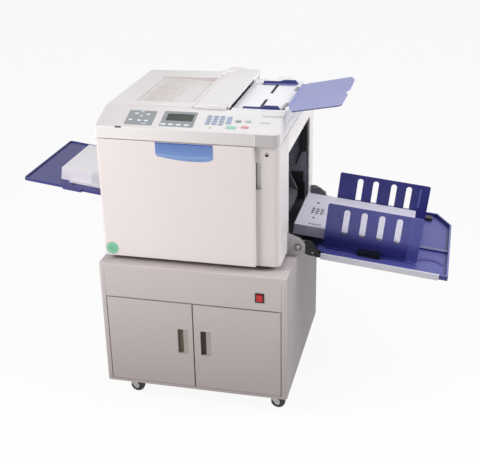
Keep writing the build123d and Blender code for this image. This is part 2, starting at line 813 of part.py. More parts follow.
# Front column at the right, bent round the body's corner, with the finger recess beside the front cover
grip_z1 = covers_top - grip_top
grip_z0 = grip_z1 - grip_height
lock_z = covers_top - lock_drop
with BuildPart() as front_column:
    with BuildSketch(Plane.XY.offset(body_bottom)) as column_profile:
        with BuildLine():
            Polyline(
                (column_left, column_front), (body_right, column_front), (body_right, column_rear),
                (body_right - side_wall, column_rear), (body_right - side_wall, column_front + side_wall),
                (column_left + 4, column_front + side_wall), (column_left + 4, column_front + 40),
                (column_left, column_front + 40), close=True)
        make_face()
        bend = column_profile.vertices().group_by(Axis.X)[-1].sort_by(Axis.Y)[0]
        fillet(bend, column_radius)
        inner_bend = column_profile.vertices().filter_by_position(
            Axis.X, body_right - side_wall - 0.1, body_right - side_wall + 0.1).sort_by(Axis.Y)[0]
        fillet(inner_bend, column_radius - side_wall)
    extrude(amount=covers_top - body_bottom)
    block(
        column_left, column_left + grip_width + 3, column_front + 1, column_front + grip_depth + 3,
        grip_z0 - 3, grip_z1 + 3)
    block(
        column_left - 1, column_left + grip_width, column_front - 1, column_front + grip_depth,
        grip_z0, grip_z1, Mode.SUBTRACT)
    rod(lock_x, column_front - 1, column_front + side_wall + 8, lock_z, lock_radius + 3)
    block(column_left, body_right, column_front - 2, column_front, lock_z - 20, lock_z + 20, Mode.SUBTRACT)
    # the inner leg stands clear of the base pan
    block(
        column_left - 1, column_left + 5, pan_front - 1, column_front + 41, body_bottom - 1,
        body_bottom + pan_height + 1, Mode.SUBTRACT)
    rod(
        lock_x, column_front - 3, column_front + side_wall + 9,
        lock_z, lock_radius + running_clearance, Mode.SUBTRACT)
front_column.part.label = "front_column"
export_step(front_column.part, "parts/front_column.step")

# Round cover lock, flush in the column, with a slot for the fingers
with BuildPart() as cover_lock:
    rod(lock_x, column_front - 1.5, column_front + side_wall + 7, lock_z, lock_radius)
    fillet(cover_lock.edges().filter_by(GeomType.CIRCLE).sort_by(Axis.Y)[0], 1)
    block(
        lock_x - 1.2, lock_x + 1.2, column_front - 2,
        column_front + 1, lock_z - 5, lock_z + 5, Mode.SUBTRACT)
    # the latch arm behind the column
    block(
        lock_x - 4, lock_x + 4, column_front + side_wall + 10, column_front + side_wall + 13,
        lock_z - 14, lock_z + 5)
    rod(lock_x, column_front + side_wall + 7, column_front + side_wall + 10, lock_z, 3)
cover_lock.part.label = "cover_lock"
export_step(cover_lock.part, "parts/cover_lock.step")

# Front cover: a moulded shell, open at the back, with ribs and two bored hinge bosses
cover_left = body_left + 1
cover_right = column_left - cover_gap
cover_bottom = body_bottom + cover_gap
cover_top = covers_top - cover_gap
cover_axis_x = cover_left + cover_hinge_x
cover_axis_y = cover_front + cover_hinge_y
cover_back = cover_front + cover_depth
with BuildPart() as front_cover:
    block(cover_left, cover_right, cover_front, cover_back, cover_bottom, cover_top)
    front_edges = front_cover.faces().sort_by(Axis.Y)[0].edges()
    fillet(front_edges.filter_by(Axis.Z), cover_edge_radius)
    fillet(front_cover.faces().sort_by(Axis.Y)[0].edges().filter_by(Axis.X), 2.5)
    block(
        cover_left + cover_shell, cover_right - cover_shell, cover_front + cover_shell, cover_back,
        cover_bottom + cover_shell, cover_top - cover_shell, Mode.SUBTRACT)
    # ribs inside
    for column in (1, 2, 3):
        rib_x = cover_left + column * cover_rib_spacing
        block(
            rib_x, rib_x + cover_rib, cover_front + cover_shell, cover_back - 3,
            cover_bottom + cover_shell, cover_top - cover_shell)
    for row in (1, 2):
        rib_z = cover_bottom + row * cover_rib_spacing
        block(
            cover_left + cover_shell, cover_right - cover_shell, cover_front + cover_shell, cover_back - 3,
            rib_z, rib_z + cover_rib)
    # hinge bosses
    for boss_z in (cover_bottom, cover_top - 20):
        block(cover_left, cover_axis_x + 6, cover_axis_y - 6, cover_back, boss_z, boss_z + 20)
    with Locations((cover_axis_x, cover_axis_y, cover_bottom + cover_pin_length / 2 + 1)):
        Cylinder(cover_pin_radius + running_clearance, cover_pin_length + 2, mode=Mode.SUBTRACT)
    with Locations((cover_axis_x, cover_axis_y, cover_top - cover_pin_length / 2 - 1)):
        Cylinder(cover_pin_radius + running_clearance, cover_pin_length + 2, mode=Mode.SUBTRACT)
front_cover.part.label = "front_cover"
export_step(front_cover.part, "parts/front_cover.step")

# Hinge pins: four for the doors, and two on small brackets for the front cover
with BuildPart() as hinge_pins:
    for side in (-1, 1):
        with Locations((side * hinge_x, hinge_y, base_top + (hinge_pin_depth + door_gap) / 2)):
            Cylinder(hinge_pin_radius, hinge_pin_depth + door_gap)
        with Locations((side * hinge_x, hinge_y, band_bottom - (hinge_pin_depth + door_top_gap) / 2)):
            Cylinder(hinge_pin_radius, hinge_pin_depth + door_top_gap)
    block(
        cover_axis_x - 6, cover_axis_x + 14, cover_axis_y - 6, pan_front + 18,
        body_bottom - cover_pin_plate, body_bottom)
    with Locations((cover_axis_x, cover_axis_y, body_bottom + cover_pin_length / 2)):
        Cylinder(cover_pin_radius, cover_pin_length)
    block(
        cover_axis_x - 6, cover_axis_x + 14, cover_axis_y - 6, pan_front + 18,
        covers_top, upper_bottom)
    with Locations((cover_axis_x, cover_axis_y, covers_top - cover_pin_length / 2)):
        Cylinder(cover_pin_radius, cover_pin_length)
hinge_pins.part.label = "hinge_pins"
export_step(hinge_pins.part, "parts/hinge_pins.step")

# Console: one sloped housing across the front, with wells for its panels and keys
console_top = upper_bottom + console_front_height
slope_rise = console_back_height - console_front_height
slope_length = (console_depth**2 + slope_rise**2) ** 0.5
console_face = Plane(
    origin=(0, cover_front, console_top), x_dir=(1, 0, 0),
    z_dir=(0, -slope_rise / slope_length, console_depth / slope_length))
key_panel_place = (-166, 52.5)
key_panel_size = (91, 75)
display_place = (-41.5, 54.5)
display_size = (109, 79)
window_place = (-38.5, 63)
window_size = (83, 34)
start_place = (133, 25)
start_size = (30, 13)
stop_place = (177, 30)
stop_size = (22, 9.5)
number_size = (14.5, 8.5)
number_places = [(55 + 21 * column, 39 + 12.6 * row) for column in range(3) for row in range(4)]
number_places += [(120, 46 + 12.6 * row) for row in range(3)]
number_places += [(151, 59), (181, 60)]
with BuildPart() as console_housing:
    with BuildSketch(Plane.YZ.offset(body_left)):
        with BuildLine():
            Polyline(
                (cover_front, upper_bottom), (cover_front, console_top),
                (console_rear, console_top + slope_rise), (console_rear, upper_bottom), close=True)
        make_face()
    extrude(amount=body_right - body_left)
    front_corners = console_housing.edges().filter_by(Axis.Z).group_by(Axis.Y)[0]
    fillet(front_corners.sort_by(Axis.X)[-1], column_radius)
    fillet(front_corners.sort_by(Axis.X)[0], cover_edge_radius)
    brow = console_housing.faces().sort_by(Axis.Y)[0].edges().sort_by(Axis.Z)[-1]
    fillet(brow, console_edge_radius)
    # wells for the two grey panels and the rubber keys
    with BuildSketch(console_face):
        with Locations(key_panel_place):
            RectangleRounded(key_panel_size[0] + 0.4, key_panel_size[1] + 0.4, 3)
        with Locations(display_place):
            RectangleRounded(display_size[0] + 0.4, display_size[1] + 0.4, 3)
        with Locations(*number_places):
            RectangleRounded(number_size[0] + 0.6, number_size[1] + 0.6, 2)
    extrude(amount=-panel_recess, mode=Mode.SUBTRACT)
    # deep wells that the two sprung keys travel in
    with BuildSketch(console_face):
        with Locations(start_place):
            RectangleRounded(start_size[0] + 2 * key_gap, start_size[1] + 2 * key_gap, 6)
        with Locations(stop_place):
            RectangleRounded(stop_size[0] + 2 * key_gap, stop_size[1] + 2 * key_gap, 4.5)
    extrude(amount=-key_well, mode=Mode.SUBTRACT)
    # the small step at the right end
    with BuildSketch(console_face):
        with Locations(((218 + body_right) / 2, 88 + 20)):
            Rectangle(body_right - 218, 40)
    extrude(amount=-1.5, mode=Mode.SUBTRACT)
console_housing.part.label = "console_housing"
export_step(console_housing.part, "parts/console_housing.step")

# Two grey panels, one with a sunken display window
with BuildPart() as console_panels:
    with BuildSketch(console_face.offset(-panel_recess)):
        with Locations(key_panel_place):
            RectangleRounded(key_panel_size[0], key_panel_size[1], 3)
        with Locations(display_place):
            RectangleRounded(display_size[0], display_size[1], 3)
    extrude(amount=panel_thickness)
    with BuildSketch(console_face.offset(panel_thickness - panel_recess)):
        with Locations(window_place):
            RectangleRounded(window_size[0], window_size[1], 1.5)
    extrude(amount=-1, mode=Mode.SUBTRACT)
console_panels.part.label = "console_panels"
export_step(console_panels.part, "parts/console_panels.step")

with BuildPart() as number_keys:
    with BuildSketch(console_face.offset(-panel_recess)):
        with Locations(*number_places):
            RectangleRounded(number_size[0], number_size[1], 2)
    extrude(amount=panel_recess + 1.6)
number_keys.part.label = "number_keys"
export_step(number_keys.part, "parts/number_keys.step")

key_foot = -key_well + key_travel + 0.5
with BuildPart() as start_key:
    with BuildSketch(console_face.offset(key_foot)):
        with Locations(start_place):
            RectangleRounded(start_size[0], start_size[1], 6)
    extrude(amount=key_proud - key_foot)
    fillet(start_key.faces().sort_by(Axis((0, 0, 0), console_face.z_dir))[-1].edges(), 1.2)
start_key.part.label = "start_key"
export_step(start_key.part, "parts/start_key.step")

with BuildPart() as stop_key:
    with BuildSketch(console_face.offset(key_foot)):
        with Locations(stop_place):
            RectangleRounded(stop_size[0], stop_size[1], 4.5)
    extrude(amount=key_proud - key_foot)
    fillet(stop_key.faces().sort_by(Axis((0, 0, 0), console_face.z_dir))[-1].edges(), 1.2)
stop_key.part.label = "stop_key"
export_step(stop_key.part, "parts/stop_key.step")

# Scanner housing: a closed flat box with the platen opening, two guide rods and the lid's hinge ears
body_middle = (body_left + body_right) / 2
rod_z = upper_bottom + 15.0
rod_places = (glass_centre_y - glass_width / 2 + 22, glass_centre_y + glass_width / 2 - 22)
with BuildPart() as scanner_housing:
    block(body_left, body_right, console_rear, body_rear, upper_bottom, bed_top)
    rear_corners = scanner_housing.edges().filter_by(Axis.Z).group_by(Axis.Y)[-1]
    fillet(rear_corners, 8)
    block(
        body_left + bed_wall, body_right - bed_wall, console_rear + bed_wall, body_rear - bed_wall - 6,
        upper_bottom + bed_wall, bed_top - bed_top_plate, Mode.SUBTRACT)
    block(
        glass_centre_x - glass_length / 2 - glass_gap, glass_centre_x + glass_length / 2 + glass_gap,
        glass_centre_y - glass_width / 2 - glass_gap, glass_centre_y + glass_width / 2 + glass_gap,
        bed_top - glass_thickness, bed_top, Mode.SUBTRACT)
    block(
        glass_centre_x - glass_length / 2 + glass_ledge, glass_centre_x + glass_length / 2 - glass_ledge,
        glass_centre_y - glass_width / 2 + glass_ledge, glass_centre_y + glass_width / 2 - glass_ledge,
        bed_top - bed_top_plate - 1, bed_top, Mode.SUBTRACT)
    for rod_y in rod_places:
        with Locations(Location((body_middle, rod_y, rod_z), (0, 90, 0))):
            Cylinder(rod_radius, body_right - body_left - bed_wall)
    for side in (-1, 1):
        lug_x = body_middle + side * lid_hinge_x
        ear_inner = lid_lug_width / 2 + lid_ear_gap
        with BuildSketch(Plane.YZ.offset(lug_x - ear_inner - lid_ear)):
            with BuildLine():
                Polyline(
                    (lid_axis_y - 16, bed_top), (lid_axis_y - 10, lid_axis_z + 7),
                    (lid_axis_y - 4, lid_axis_z + 11),
                    (lid_axis_y + 4, lid_axis_z + 11),
                    (lid_axis_y + 10, lid_axis_z + 7), (lid_axis_y + 16, bed_top),
                    close=True)
            make_face()
        extrude(amount=lid_ear)
        with BuildSketch(Plane.YZ.offset(lug_x + ear_inner)):
            with BuildLine():
                Polyline(
                    (lid_axis_y - 16, bed_top), (lid_axis_y - 10, lid_axis_z + 7),
                    (lid_axis_y - 4, lid_axis_z + 11),
                    (lid_axis_y + 4, lid_axis_z + 11),
                    (lid_axis_y + 10, lid_axis_z + 7), (lid_axis_y + 16, bed_top),
                    close=True)
            make_face()
        extrude(amount=lid_ear)
        with Locations(Location((lug_x, lid_axis_y, lid_axis_z), (0, 90, 0))):
            Cylinder(lid_pin_radius, lid_lug_width + 2 * lid_ear_gap + 2 * lid_ear)
scanner_housing.part.label = "scanner_housing"
export_step(scanner_housing.part, "parts/scanner_housing.step")

with BuildPart() as platen_glass:
    block(
        glass_centre_x - glass_length / 2, glass_centre_x + glass_length / 2,
        glass_centre_y - glass_width / 2, glass_centre_y + glass_width / 2,
        bed_top - glass_thickness, bed_top)
platen_glass.part.label = "platen_glass"
export_step(platen_glass.part, "parts/platen_glass.step")

# Scan carriage, parked at the left end of the bed
carriage_x = glass_centre_x - glass_length / 2 + glass_ledge + carriage_width / 2 - 20
carriage_z = upper_bottom + bed_wall + 2.0
with BuildPart() as scan_carriage:
    block(
        carriage_x - carriage_width / 2, carriage_x + carriage_width / 2,
        rod_places[0] - 14, rod_places[1] + 14, carriage_z, carriage_z + carriage_height)
    block(
        carriage_x - 6, carriage_x + 6, rod_places[0] + 14, rod_places[1] - 14,
        carriage_z + carriage_height - 6, carriage_z + carriage_height, Mode.SUBTRACT)
    for rod_y in rod_places:
        with Locations(Location((carriage_x, rod_y, rod_z), (0, 90, 0))):
            Cylinder(rod_radius + running_clearance, carriage_width, mode=Mode.SUBTRACT)
scan_carriage.part.label = "scan_carriage"
export_step(scan_carriage.part, "parts/scan_carriage.step")

# Lid: a closed slab that carries the recess for ejected originals, the feeder's well and the original tray
lid_bottom = bed_top + lid_gap
slab_top = lid_bottom + lid_slab
lid_slope = (lid_step_top - lid_left_top) / (well_left - body_left)
tray_slope = (tray_high_z - tray_low_z) / (body_right - well_right)
well_front = feeder_front + feeder_skin + 4
well_rear = feeder_rear - feeder_skin - 1
with BuildPart() as lid_cover:
    block(body_left, body_right, lid_front, lid_rear, lid_bottom, slab_top)
    fillet(lid_cover.edges().filter_by(Axis.Z).group_by(Axis.Y)[-1], 12)
    with BuildSketch(Plane.XZ.offset(-lid_front)):
        with BuildLine():
            Polyline(
                (body_left, lid_bottom), (body_left, lid_left_top), (well_left, lid_step_top),
                (well_left, lid_bottom), close=True)
        make_face()
    extrude(amount=-(lid_left_rear - lid_front))
    with BuildSketch(Plane.XZ.offset(-lid_front)):
        with BuildLine():
            Polyline(
                (well_right, lid_bottom), (well_right, tray_low_z), (body_right, tray_high_z),
                (body_right, lid_bottom), close=True)
        make_face()
    extrude(amount=-(tray_back - lid_front))
    soft_edges = lid_cover.edges().filter_by_position(Axis.Z, lid_left_top - 1, lid_left_top + 1)
    fillet(soft_edges.group_by(Axis.X)[0], lid_edge_radius)
    # the well of the feeder, with an end wall at each side for its shaft and its cover's pins
    block(well_left, well_right, lid_front, lid_rear, well_floor, slab_top, Mode.SUBTRACT)
    for wall_y in (well_front, well_rear - well_wall):
        block(feeder_axis_x, well_right - 16, wall_y, wall_y + well_wall, well_floor, well_wall_top)
    rod(feeder_axis_x, feeder_front - 1, well_front + well_wall, feeder_axis_z, feeder_pin_radius)
    rod(feeder_axis_x, well_rear - well_wall, feeder_rear + 1, feeder_axis_z, feeder_pin_radius)
    rod(
        feed_roller_x, well_front, well_rear, feed_roller_z,
        feed_shaft_radius + running_clearance, Mode.SUBTRACT)
    # a rounded hump behind the feeder's cover
    with BuildSketch(Plane.XZ.offset(-hump_front)):
        with BuildLine():
            Line((well_left - 30, slab_top - 6), (well_left - 30, lid_step_top - 1))
            Spline(
                (well_left - 30, lid_step_top - 1),
                (well_left + 22, hump_top), (well_right - 30, hump_top - 4),
                (well_right, tray_low_z + 5), tangents=((1, 0.05), (0.35, -1)))
            Polyline(
                (well_right, tray_low_z + 5), (well_right, slab_top - 6), (well_left - 30, slab_top - 6))
        make_face()
    extrude(amount=-(lid_left_rear + 4 - hump_front))
    # the recess that ejected originals slide into, deepest at its right end, with its low ribs
    recess_left_z = lid_left_top + (recess_left - body_left) * lid_slope - recess_shallow
    recess_right_z = lid_left_top + (recess_right - body_left) * lid_slope - recess_deep
    floor_slope = (recess_right_z - recess_left_z) / (recess_right - recess_left)
    with BuildSketch(Plane.XZ.offset(-recess_front)):
        with BuildLine():
            Polyline(
                (recess_left, recess_left_z), (recess_right, recess_right_z),
                (recess_right, lid_step_top + 9), (recess_left, lid_step_top + 9), close=True)
        make_face()
    extrude(amount=-(recess_rear - recess_front), mode=Mode.SUBTRACT)
    rib_x0 = recess_left + 6
    rib_x1 = rib_x0 + recess_rib_length
    rib_z0 = recess_left_z + (rib_x0 - recess_left) * floor_slope
    rib_z1 = recess_left_z + (rib_x1 - recess_left) * floor_slope
    for rib in range(recess_ribs):
        with BuildSketch(Plane.XZ.offset(-(recess_front + 14 + rib * recess_rib_pitch))):
            with BuildLine():
                Polyline(
                    (rib_x0, rib_z0 - 1), (rib_x0, rib_z0),
                    (rib_x0 + 8, rib_z0 + 8 * floor_slope + recess_rib_height),
                    (rib_x1 - 8, rib_z1 - 8 * floor_slope + recess_rib_height),
                    (rib_x1, rib_z1), (rib_x1, rib_z1 - 1), close=True)
            make_face()
        extrude(amount=-4)
    # a raised border along the original tray's front edge
    block(
        well_right + 3, flap_axis_x - flap_ear_radius - 1, lid_front, lid_front + tray_border,
        tray_low_z - 6, tray_border_top)
    # slots in the original tray for the guides' tongues
    for side in (-1, 1):
        slot_y = guide_centre_y + side * (guide_gap + guide_wall - guide_travel - guide_slot_reserve) / 2
        slot_half = (guide_travel + guide_slot_reserve) / 2 + 6
        block(
            guide_slot_x - guide_slot_width / 2, guide_slot_x + guide_slot_width / 2,
            slot_y - slot_half, slot_y + slot_half,
            tray_low_z - guide_slot_depth, tray_high_z + 2, Mode.SUBTRACT)
    # ears for the folding tray flap
    for ear_y in (flap_root_front - flap_ear - 0.5, flap_rear + 0.5):
        with BuildSketch(Plane.XZ.offset(-ear_y)):
            with Locations((flap_axis_x, flap_axis_z)):
                Circle(flap_ear_radius)
            with BuildLine():
                Polyline(
                    (flap_axis_x - flap_ear_radius, flap_axis_z),
                    (flap_axis_x + flap_ear_radius, flap_axis_z),
                    (body_right, tray_high_z - 14), (body_right - 8, tray_high_z - 10), close=True)
            make_face()
        extrude(amount=-flap_ear)
    rod(
        flap_axis_x, flap_root_front - flap_ear - 2, flap_rear + flap_ear + 2, flap_axis_z,
        flap_pin + running_clearance, Mode.SUBTRACT)
    # two lugs that reach back to the hinge pins
    for side in (-1, 1):
        lug_x = body_middle + side * lid_hinge_x
        with BuildSketch(Plane.YZ.offset(lug_x - lid_lug_width / 2)):
            with Locations((lid_axis_y, lid_axis_z)):
                Circle(lid_lug_radius)
            with BuildLine():
                Polyline(
                    (lid_rear - 4, lid_axis_z - lid_lug_radius), (lid_axis_y, lid_axis_z - lid_lug_radius),
                    (lid_axis_y, lid_axis_z + lid_lug_radius), (lid_rear - 4, slab_top - 1), close=True)
            make_face()
            with Locations((lid_axis_y, lid_axis_z)):
                Circle(lid_pin_radius + running_clearance, mode=Mode.SUBTRACT)
        extrude(amount=lid_lug_width)
lid_cover.part.label = "lid_cover"
export_step(lid_cover.part, "parts/lid_cover.step")

# Feeder cover: a thin arched shell with an open mouth over the tray.
# Its left edge is a barrel around its hinge
with BuildPart() as adf_cover:
    with BuildSketch(Plane.XZ.offset(-feeder_front + feeder_lip_reach)):
        with BuildLine():
            Line((feeder_left, feeder_skirt_z), (feeder_left, feeder_axis_z))
            RadiusArc((feeder_left, feeder_axis_z), (feeder_axis_x, feeder_left_top), feeder_barrel)
            Spline(
                (feeder_axis_x, feeder_left_top), (feeder_axis_x + 62, feeder_right_top - 1.5),
                (feeder_right - 5, feeder_right_top), tangents=((1, 0.3), (1, 0)))
            Polyline(
                (feeder_right - 5, feeder_right_top), (feeder_right, feeder_right_top - 3),
                (feeder_right, feeder_mouth_z - 2), (feeder_right - 20, feeder_skirt_z),
                (feeder_left, feeder_skirt_z))
        make_face()
    extrude(amount=-(feeder_rear - feeder_front + feeder_lip_reach))
    # only the grip lip reaches forward over the console
    lip_top = feeder_right_top - feeder_lip_drop
    lip_front = feeder_front - feeder_lip_reach
    block(
        feeder_left - 1, feeder_right + 1, lip_front, feeder_front,
        feeder_skirt_z - 1, lip_top - feeder_lip_thickness, Mode.SUBTRACT)
    block(
        feeder_left - 1, feeder_right + 1, lip_front, feeder_front,
        lip_top, feeder_right_top + 1, Mode.SUBTRACT)
    block(
        feeder_left - 1, feeder_lip_left, lip_front, feeder_front,
        feeder_skirt_z, feeder_right_top, Mode.SUBTRACT)
    block(
        feeder_lip_right, feeder_right + 1, lip_front, feeder_front, feeder_skirt_z, feeder_right_top,
        Mode.SUBTRACT)
    with BuildSketch(Plane.XZ.offset(-feeder_front - feeder_skin)):
        with BuildLine():
            inner_left = feeder_left + feeder_hinge_wall
            inner_top = feeder_left_top - feeder_hinge_wall
            Line((inner_left, feeder_skirt_z - 1), (inner_left, feeder_axis_z))
            RadiusArc(
                (inner_left, feeder_axis_z), (feeder_axis_x, inner_top),
                feeder_barrel - feeder_hinge_wall)
            Spline(
                (feeder_axis_x, inner_top), (feeder_axis_x + 62, feeder_right_top - 1.5 - feeder_skin),
                (feeder_right - 8, feeder_mouth_z + 2), tangents=((1, 0.3), (1, -0.1)))
            Polyline(
                (feeder_right - 8, feeder_mouth_z + 2), (feeder_right + 1, feeder_mouth_z),
                (feeder_right + 1, feeder_skirt_z - 1), (inner_left, feeder_skirt_z - 1))
        make_face()
    extrude(amount=-(feeder_rear - feeder_front - 2 * feeder_skin), mode=Mode.SUBTRACT)
    # behind the widest original the mouth is closed
    block(
        feeder_right - feeder_mouth_wall, feeder_right, feeder_mouth_end, feeder_rear - feeder_skin + 1,
        tray_low_z + 1, feeder_mouth_z)
    # the left wall stops at the hinge axis, so that it clears the well's end walls as it turns
    block(
        feeder_left - 1, inner_left + 1, feeder_front + feeder_skin, feeder_rear - feeder_skin,
        feeder_skirt_z - 1, feeder_axis_z, Mode.SUBTRACT)
    rod(
        feeder_axis_x, feeder_front - 1, feeder_rear + 1, feeder_axis_z,
        feeder_pin_radius + running_clearance, Mode.SUBTRACT)
adf_cover.part.label = "adf_cover"
export_step(adf_cover.part, "parts/adf_cover.step")

with BuildPart() as adf_feed_roller:
    roller_front = guide_centre_y - feed_roller_length / 2
    rod(feed_roller_x, roller_front, roller_front + feed_roller_length, feed_roller_z, feed_roller_radius)
    rod(
        feed_roller_x, roller_front + 62, roller_front + feed_roller_length - 62, feed_roller_z,
        feed_roller_radius + 1)
    rod(feed_roller_x, well_front, well_rear, feed_roller_z, feed_shaft_radius)
adf_feed_roller.part.label = "adf_feed_roller"
export_step(adf_feed_roller.part, "parts/adf_feed_roller.step")

# Guides on the original tray: a low wall with a rounded hump, and a tongue in the tray's slot
guide_base = tray_high_z - 0.6 + guide_lift
with BuildPart() as adf_guide_front:
    with BuildSketch(Plane.XZ.offset(-(guide_centre_y - guide_gap / 2))):
        with BuildLine():
            Polyline((guide_left, guide_base), (guide_left + 3, guide_base + guide_low))
            Line((guide_left + 3, guide_base + guide_low), (guide_left + 52, guide_base + guide_low))
            Spline(
                (guide_left + 52, guide_base + guide_low), (guide_left + 70, guide_base + guide_hump - 1),
                (guide_left + 80, guide_base + guide_hump), tangents=((1, 0), (1, 0)))
            Line((guide_left + 80, guide_base + guide_hump), (guide_right - 8, guide_base + guide_hump))
            Polyline(
                (guide_right - 8, guide_base + guide_hump), (guide_right, guide_base + 4),
                (guide_right, guide_base), (guide_left, guide_base))
        make_face()
    extrude(amount=guide_wall)
    block(
        guide_slot_x - guide_tongue / 2, guide_slot_x + guide_tongue / 2,
        guide_centre_y - guide_gap / 2 - guide_wall, guide_centre_y - guide_gap / 2,
        tray_low_z - guide_slot_depth + 2, guide_base + 1)
adf_guide_front.part.label = "adf_guide_front"
export_step(adf_guide_front.part, "parts/adf_guide_front.step")

with BuildPart() as adf_guide_rear:
    add(adf_guide_front.part.mirror(Plane.XZ.offset(-guide_centre_y)))
adf_guide_rear.part.label = "adf_guide_rear"
export_step(adf_guide_rear.part, "parts/adf_guide_rear.step")

# Folding flap of the original tray, resting opened out and slightly raised
flap_plane = Plane(
    origin=(flap_axis_x, 0, flap_axis_z),
    x_dir=(cos(radians(flap_angle)), 0, sin(radians(flap_angle))),
    z_dir=(-sin(radians(flap_angle)), 0, cos(radians(flap_angle))))
with BuildPart() as adf_flap:
    with BuildSketch(flap_plane.offset(-flap_thickness / 2)) as flap_outline:
        with BuildLine():
            Polyline(
                (0, flap_root_front), (8, flap_root_front),
                (24, flap_front + 14), (flap_length - 14, flap_front),
                (flap_length - 4, flap_front + 8), (flap_length, flap_notch_y - 36),
                (flap_length - flap_notch_depth, flap_notch_y), (flap_length, flap_notch_y + 28),
                (flap_length, flap_rear - 44), (flap_length - 15, flap_rear), (0, flap_rear), close=True)
        make_face()
        fillet(flap_outline.vertices().group_by(Axis.X)[-1], 6)
    extrude(amount=flap_thickness)
    rod(flap_axis_x, flap_root_front, flap_rear, flap_axis_z, flap_barrel)
    rod(flap_axis_x, flap_root_front - flap_ear, flap_rear + flap_ear, flap_axis_z, flap_pin)
adf_flap.part.label = "adf_flap"
export_step(adf_flap.part, "parts/adf_flap.step")

# Feed tray: a thin tilted plate with a low lip, wider outside the body, carried by a lift shaft
feed_plane = Plane(
    origin=(body_left, path_centre_y, feed_floor_z),
    x_dir=(-cos(radians(feed_tilt)), 0, sin(radians(feed_tilt))),
    z_dir=(sin(radians(feed_tilt)), 0, cos(radians(feed_tilt))))
feed_mid = (feed_outer - feed_inner) / 2
feed_length = feed_outer + feed_inner
feed_wide = feed_outside_rear - path_centre_y + feed_half_width
with BuildPart() as feed_tray:
    with BuildSketch(feed_plane) as feed_outline:
        with Locations((feed_mid, 0)):
            RectangleRounded(feed_length, 2 * feed_half_width, 10)
        with Locations(((feed_outside + feed_outer) / 2, feed_half_width - feed_wide / 2)):
            RectangleRounded(feed_outer - feed_outside, feed_wide, 10)
    extrude(amount=-feed_plate)
    with BuildSketch(feed_plane):
        add(feed_outline.sketch_local)
        offset(amount=-feed_lip_width, mode=Mode.SUBTRACT)
    extrude(amount=feed_lip)
    # lever under the front edge that frees the front guide
    with BuildSketch(feed_plane.offset(feed_lip - 1)):
        with Locations((feed_lever_start + feed_lever_length / 2, feed_half_width + feed_lever_reach / 2 - 1)):
            RectangleRounded(feed_lever_length, feed_lever_reach + 2, 3)
    extrude(amount=-(feed_lip - 1 + feed_plate))
    # grooves for the guides
    with BuildSketch(feed_plane):
        with Locations((80, 0), (190, 0)):
            with GridLocations(0, 2 * (feed_paper_width / 2 + 18), 1, 2):
                SlotOverall(44, 6, rotation=90)
    extrude(amount=-3, mode=Mode.SUBTRACT)
    # stiffening ribs under the plate
    with BuildSketch(feed_plane.offset(-feed_plate)):
        with Locations((feed_mid - 20, 0)):
            with GridLocations(0, 84, 1, 4):
                Rectangle(feed_length - 70, 4)
    extrude(amount=-9)
    shaft_x = body_left + 62
    shaft_z = feed_floor_z - 62 * feed_slope - feed_plate - 7
    rod(shaft_x, front_plate_y + frame_plate + 0.3, rear_plate_y - 0.3, shaft_z, 6)
feed_tray.part.label = "feed_tray"
export_step(feed_tray.part, "parts/feed_tray.step")

# Side guides of the feed tray: a flange on the tray and an upright wall near the body
guide_inner = feed_paper_width / 2 + feed_guide_gap
with BuildPart() as feed_guide_front:
    with BuildSketch(feed_plane.offset(0.3)):
        with Locations((feed_guide_start + feed_guide_length / 2, guide_inner + feed_guide_flange / 2)):
            RectangleRounded(feed_guide_length, feed_guide_flange, 3)
    extrude(amount=3)
    with BuildSketch(feed_plane.offset(0.3)):
        with Locations((feed_guide_start + feed_guide_upright / 2 + 3, guide_inner + feed_guide_wall / 2)):
            Rectangle(feed_guide_upright, feed_guide_wall)
    extrude(amount=feed_guide_height)
    fillet(feed_guide_front.edges().filter_by(Axis.Y).group_by(Axis.Z)[-1], 14)
feed_guide_front.part.label = "feed_guide_front"
export_step(feed_guide_front.part, "parts/feed_guide_front.step")

with BuildPart() as feed_guide_rear:
    add(feed_guide_front.part.mirror(Plane.XZ.offset(-path_centre_y)))
feed_guide_rear.part.label = "feed_guide_rear"
export_step(feed_guide_rear.part, "parts/feed_guide_rear.step")

with BuildPart() as feed_paper:
    with BuildSketch(feed_plane):
        with Locations((feed_paper_out - feed_paper_length / 2, 0)):
            Rectangle(feed_paper_length, feed_paper_width)
    extrude(amount=feed_paper_height)
feed_paper.part.label = "feed_paper"
export_step(feed_paper.part, "parts/feed_paper.step")

# Output tray: floor with a raised rim and a cut corner, paper bed, front rail and two arms on the pivot
tray_dir = (cos(radians(tray_tilt)), 0, -sin(radians(tray_tilt)))
tray_plane = Plane(
    origin=(tray_pivot_x, 0, tray_pivot_z), x_dir=tray_dir,
    z_dir=(sin(radians(tray_tilt)), 0, cos(radians(tray_tilt))))


def tray_side(y):
    """Gives the tray's side view plane at a place along Y: u to the right, w up."""
    return Plane(origin=(tray_pivot_x, y, tray_pivot_z), x_dir=tray_dir, z_dir=(0, -1, 0))


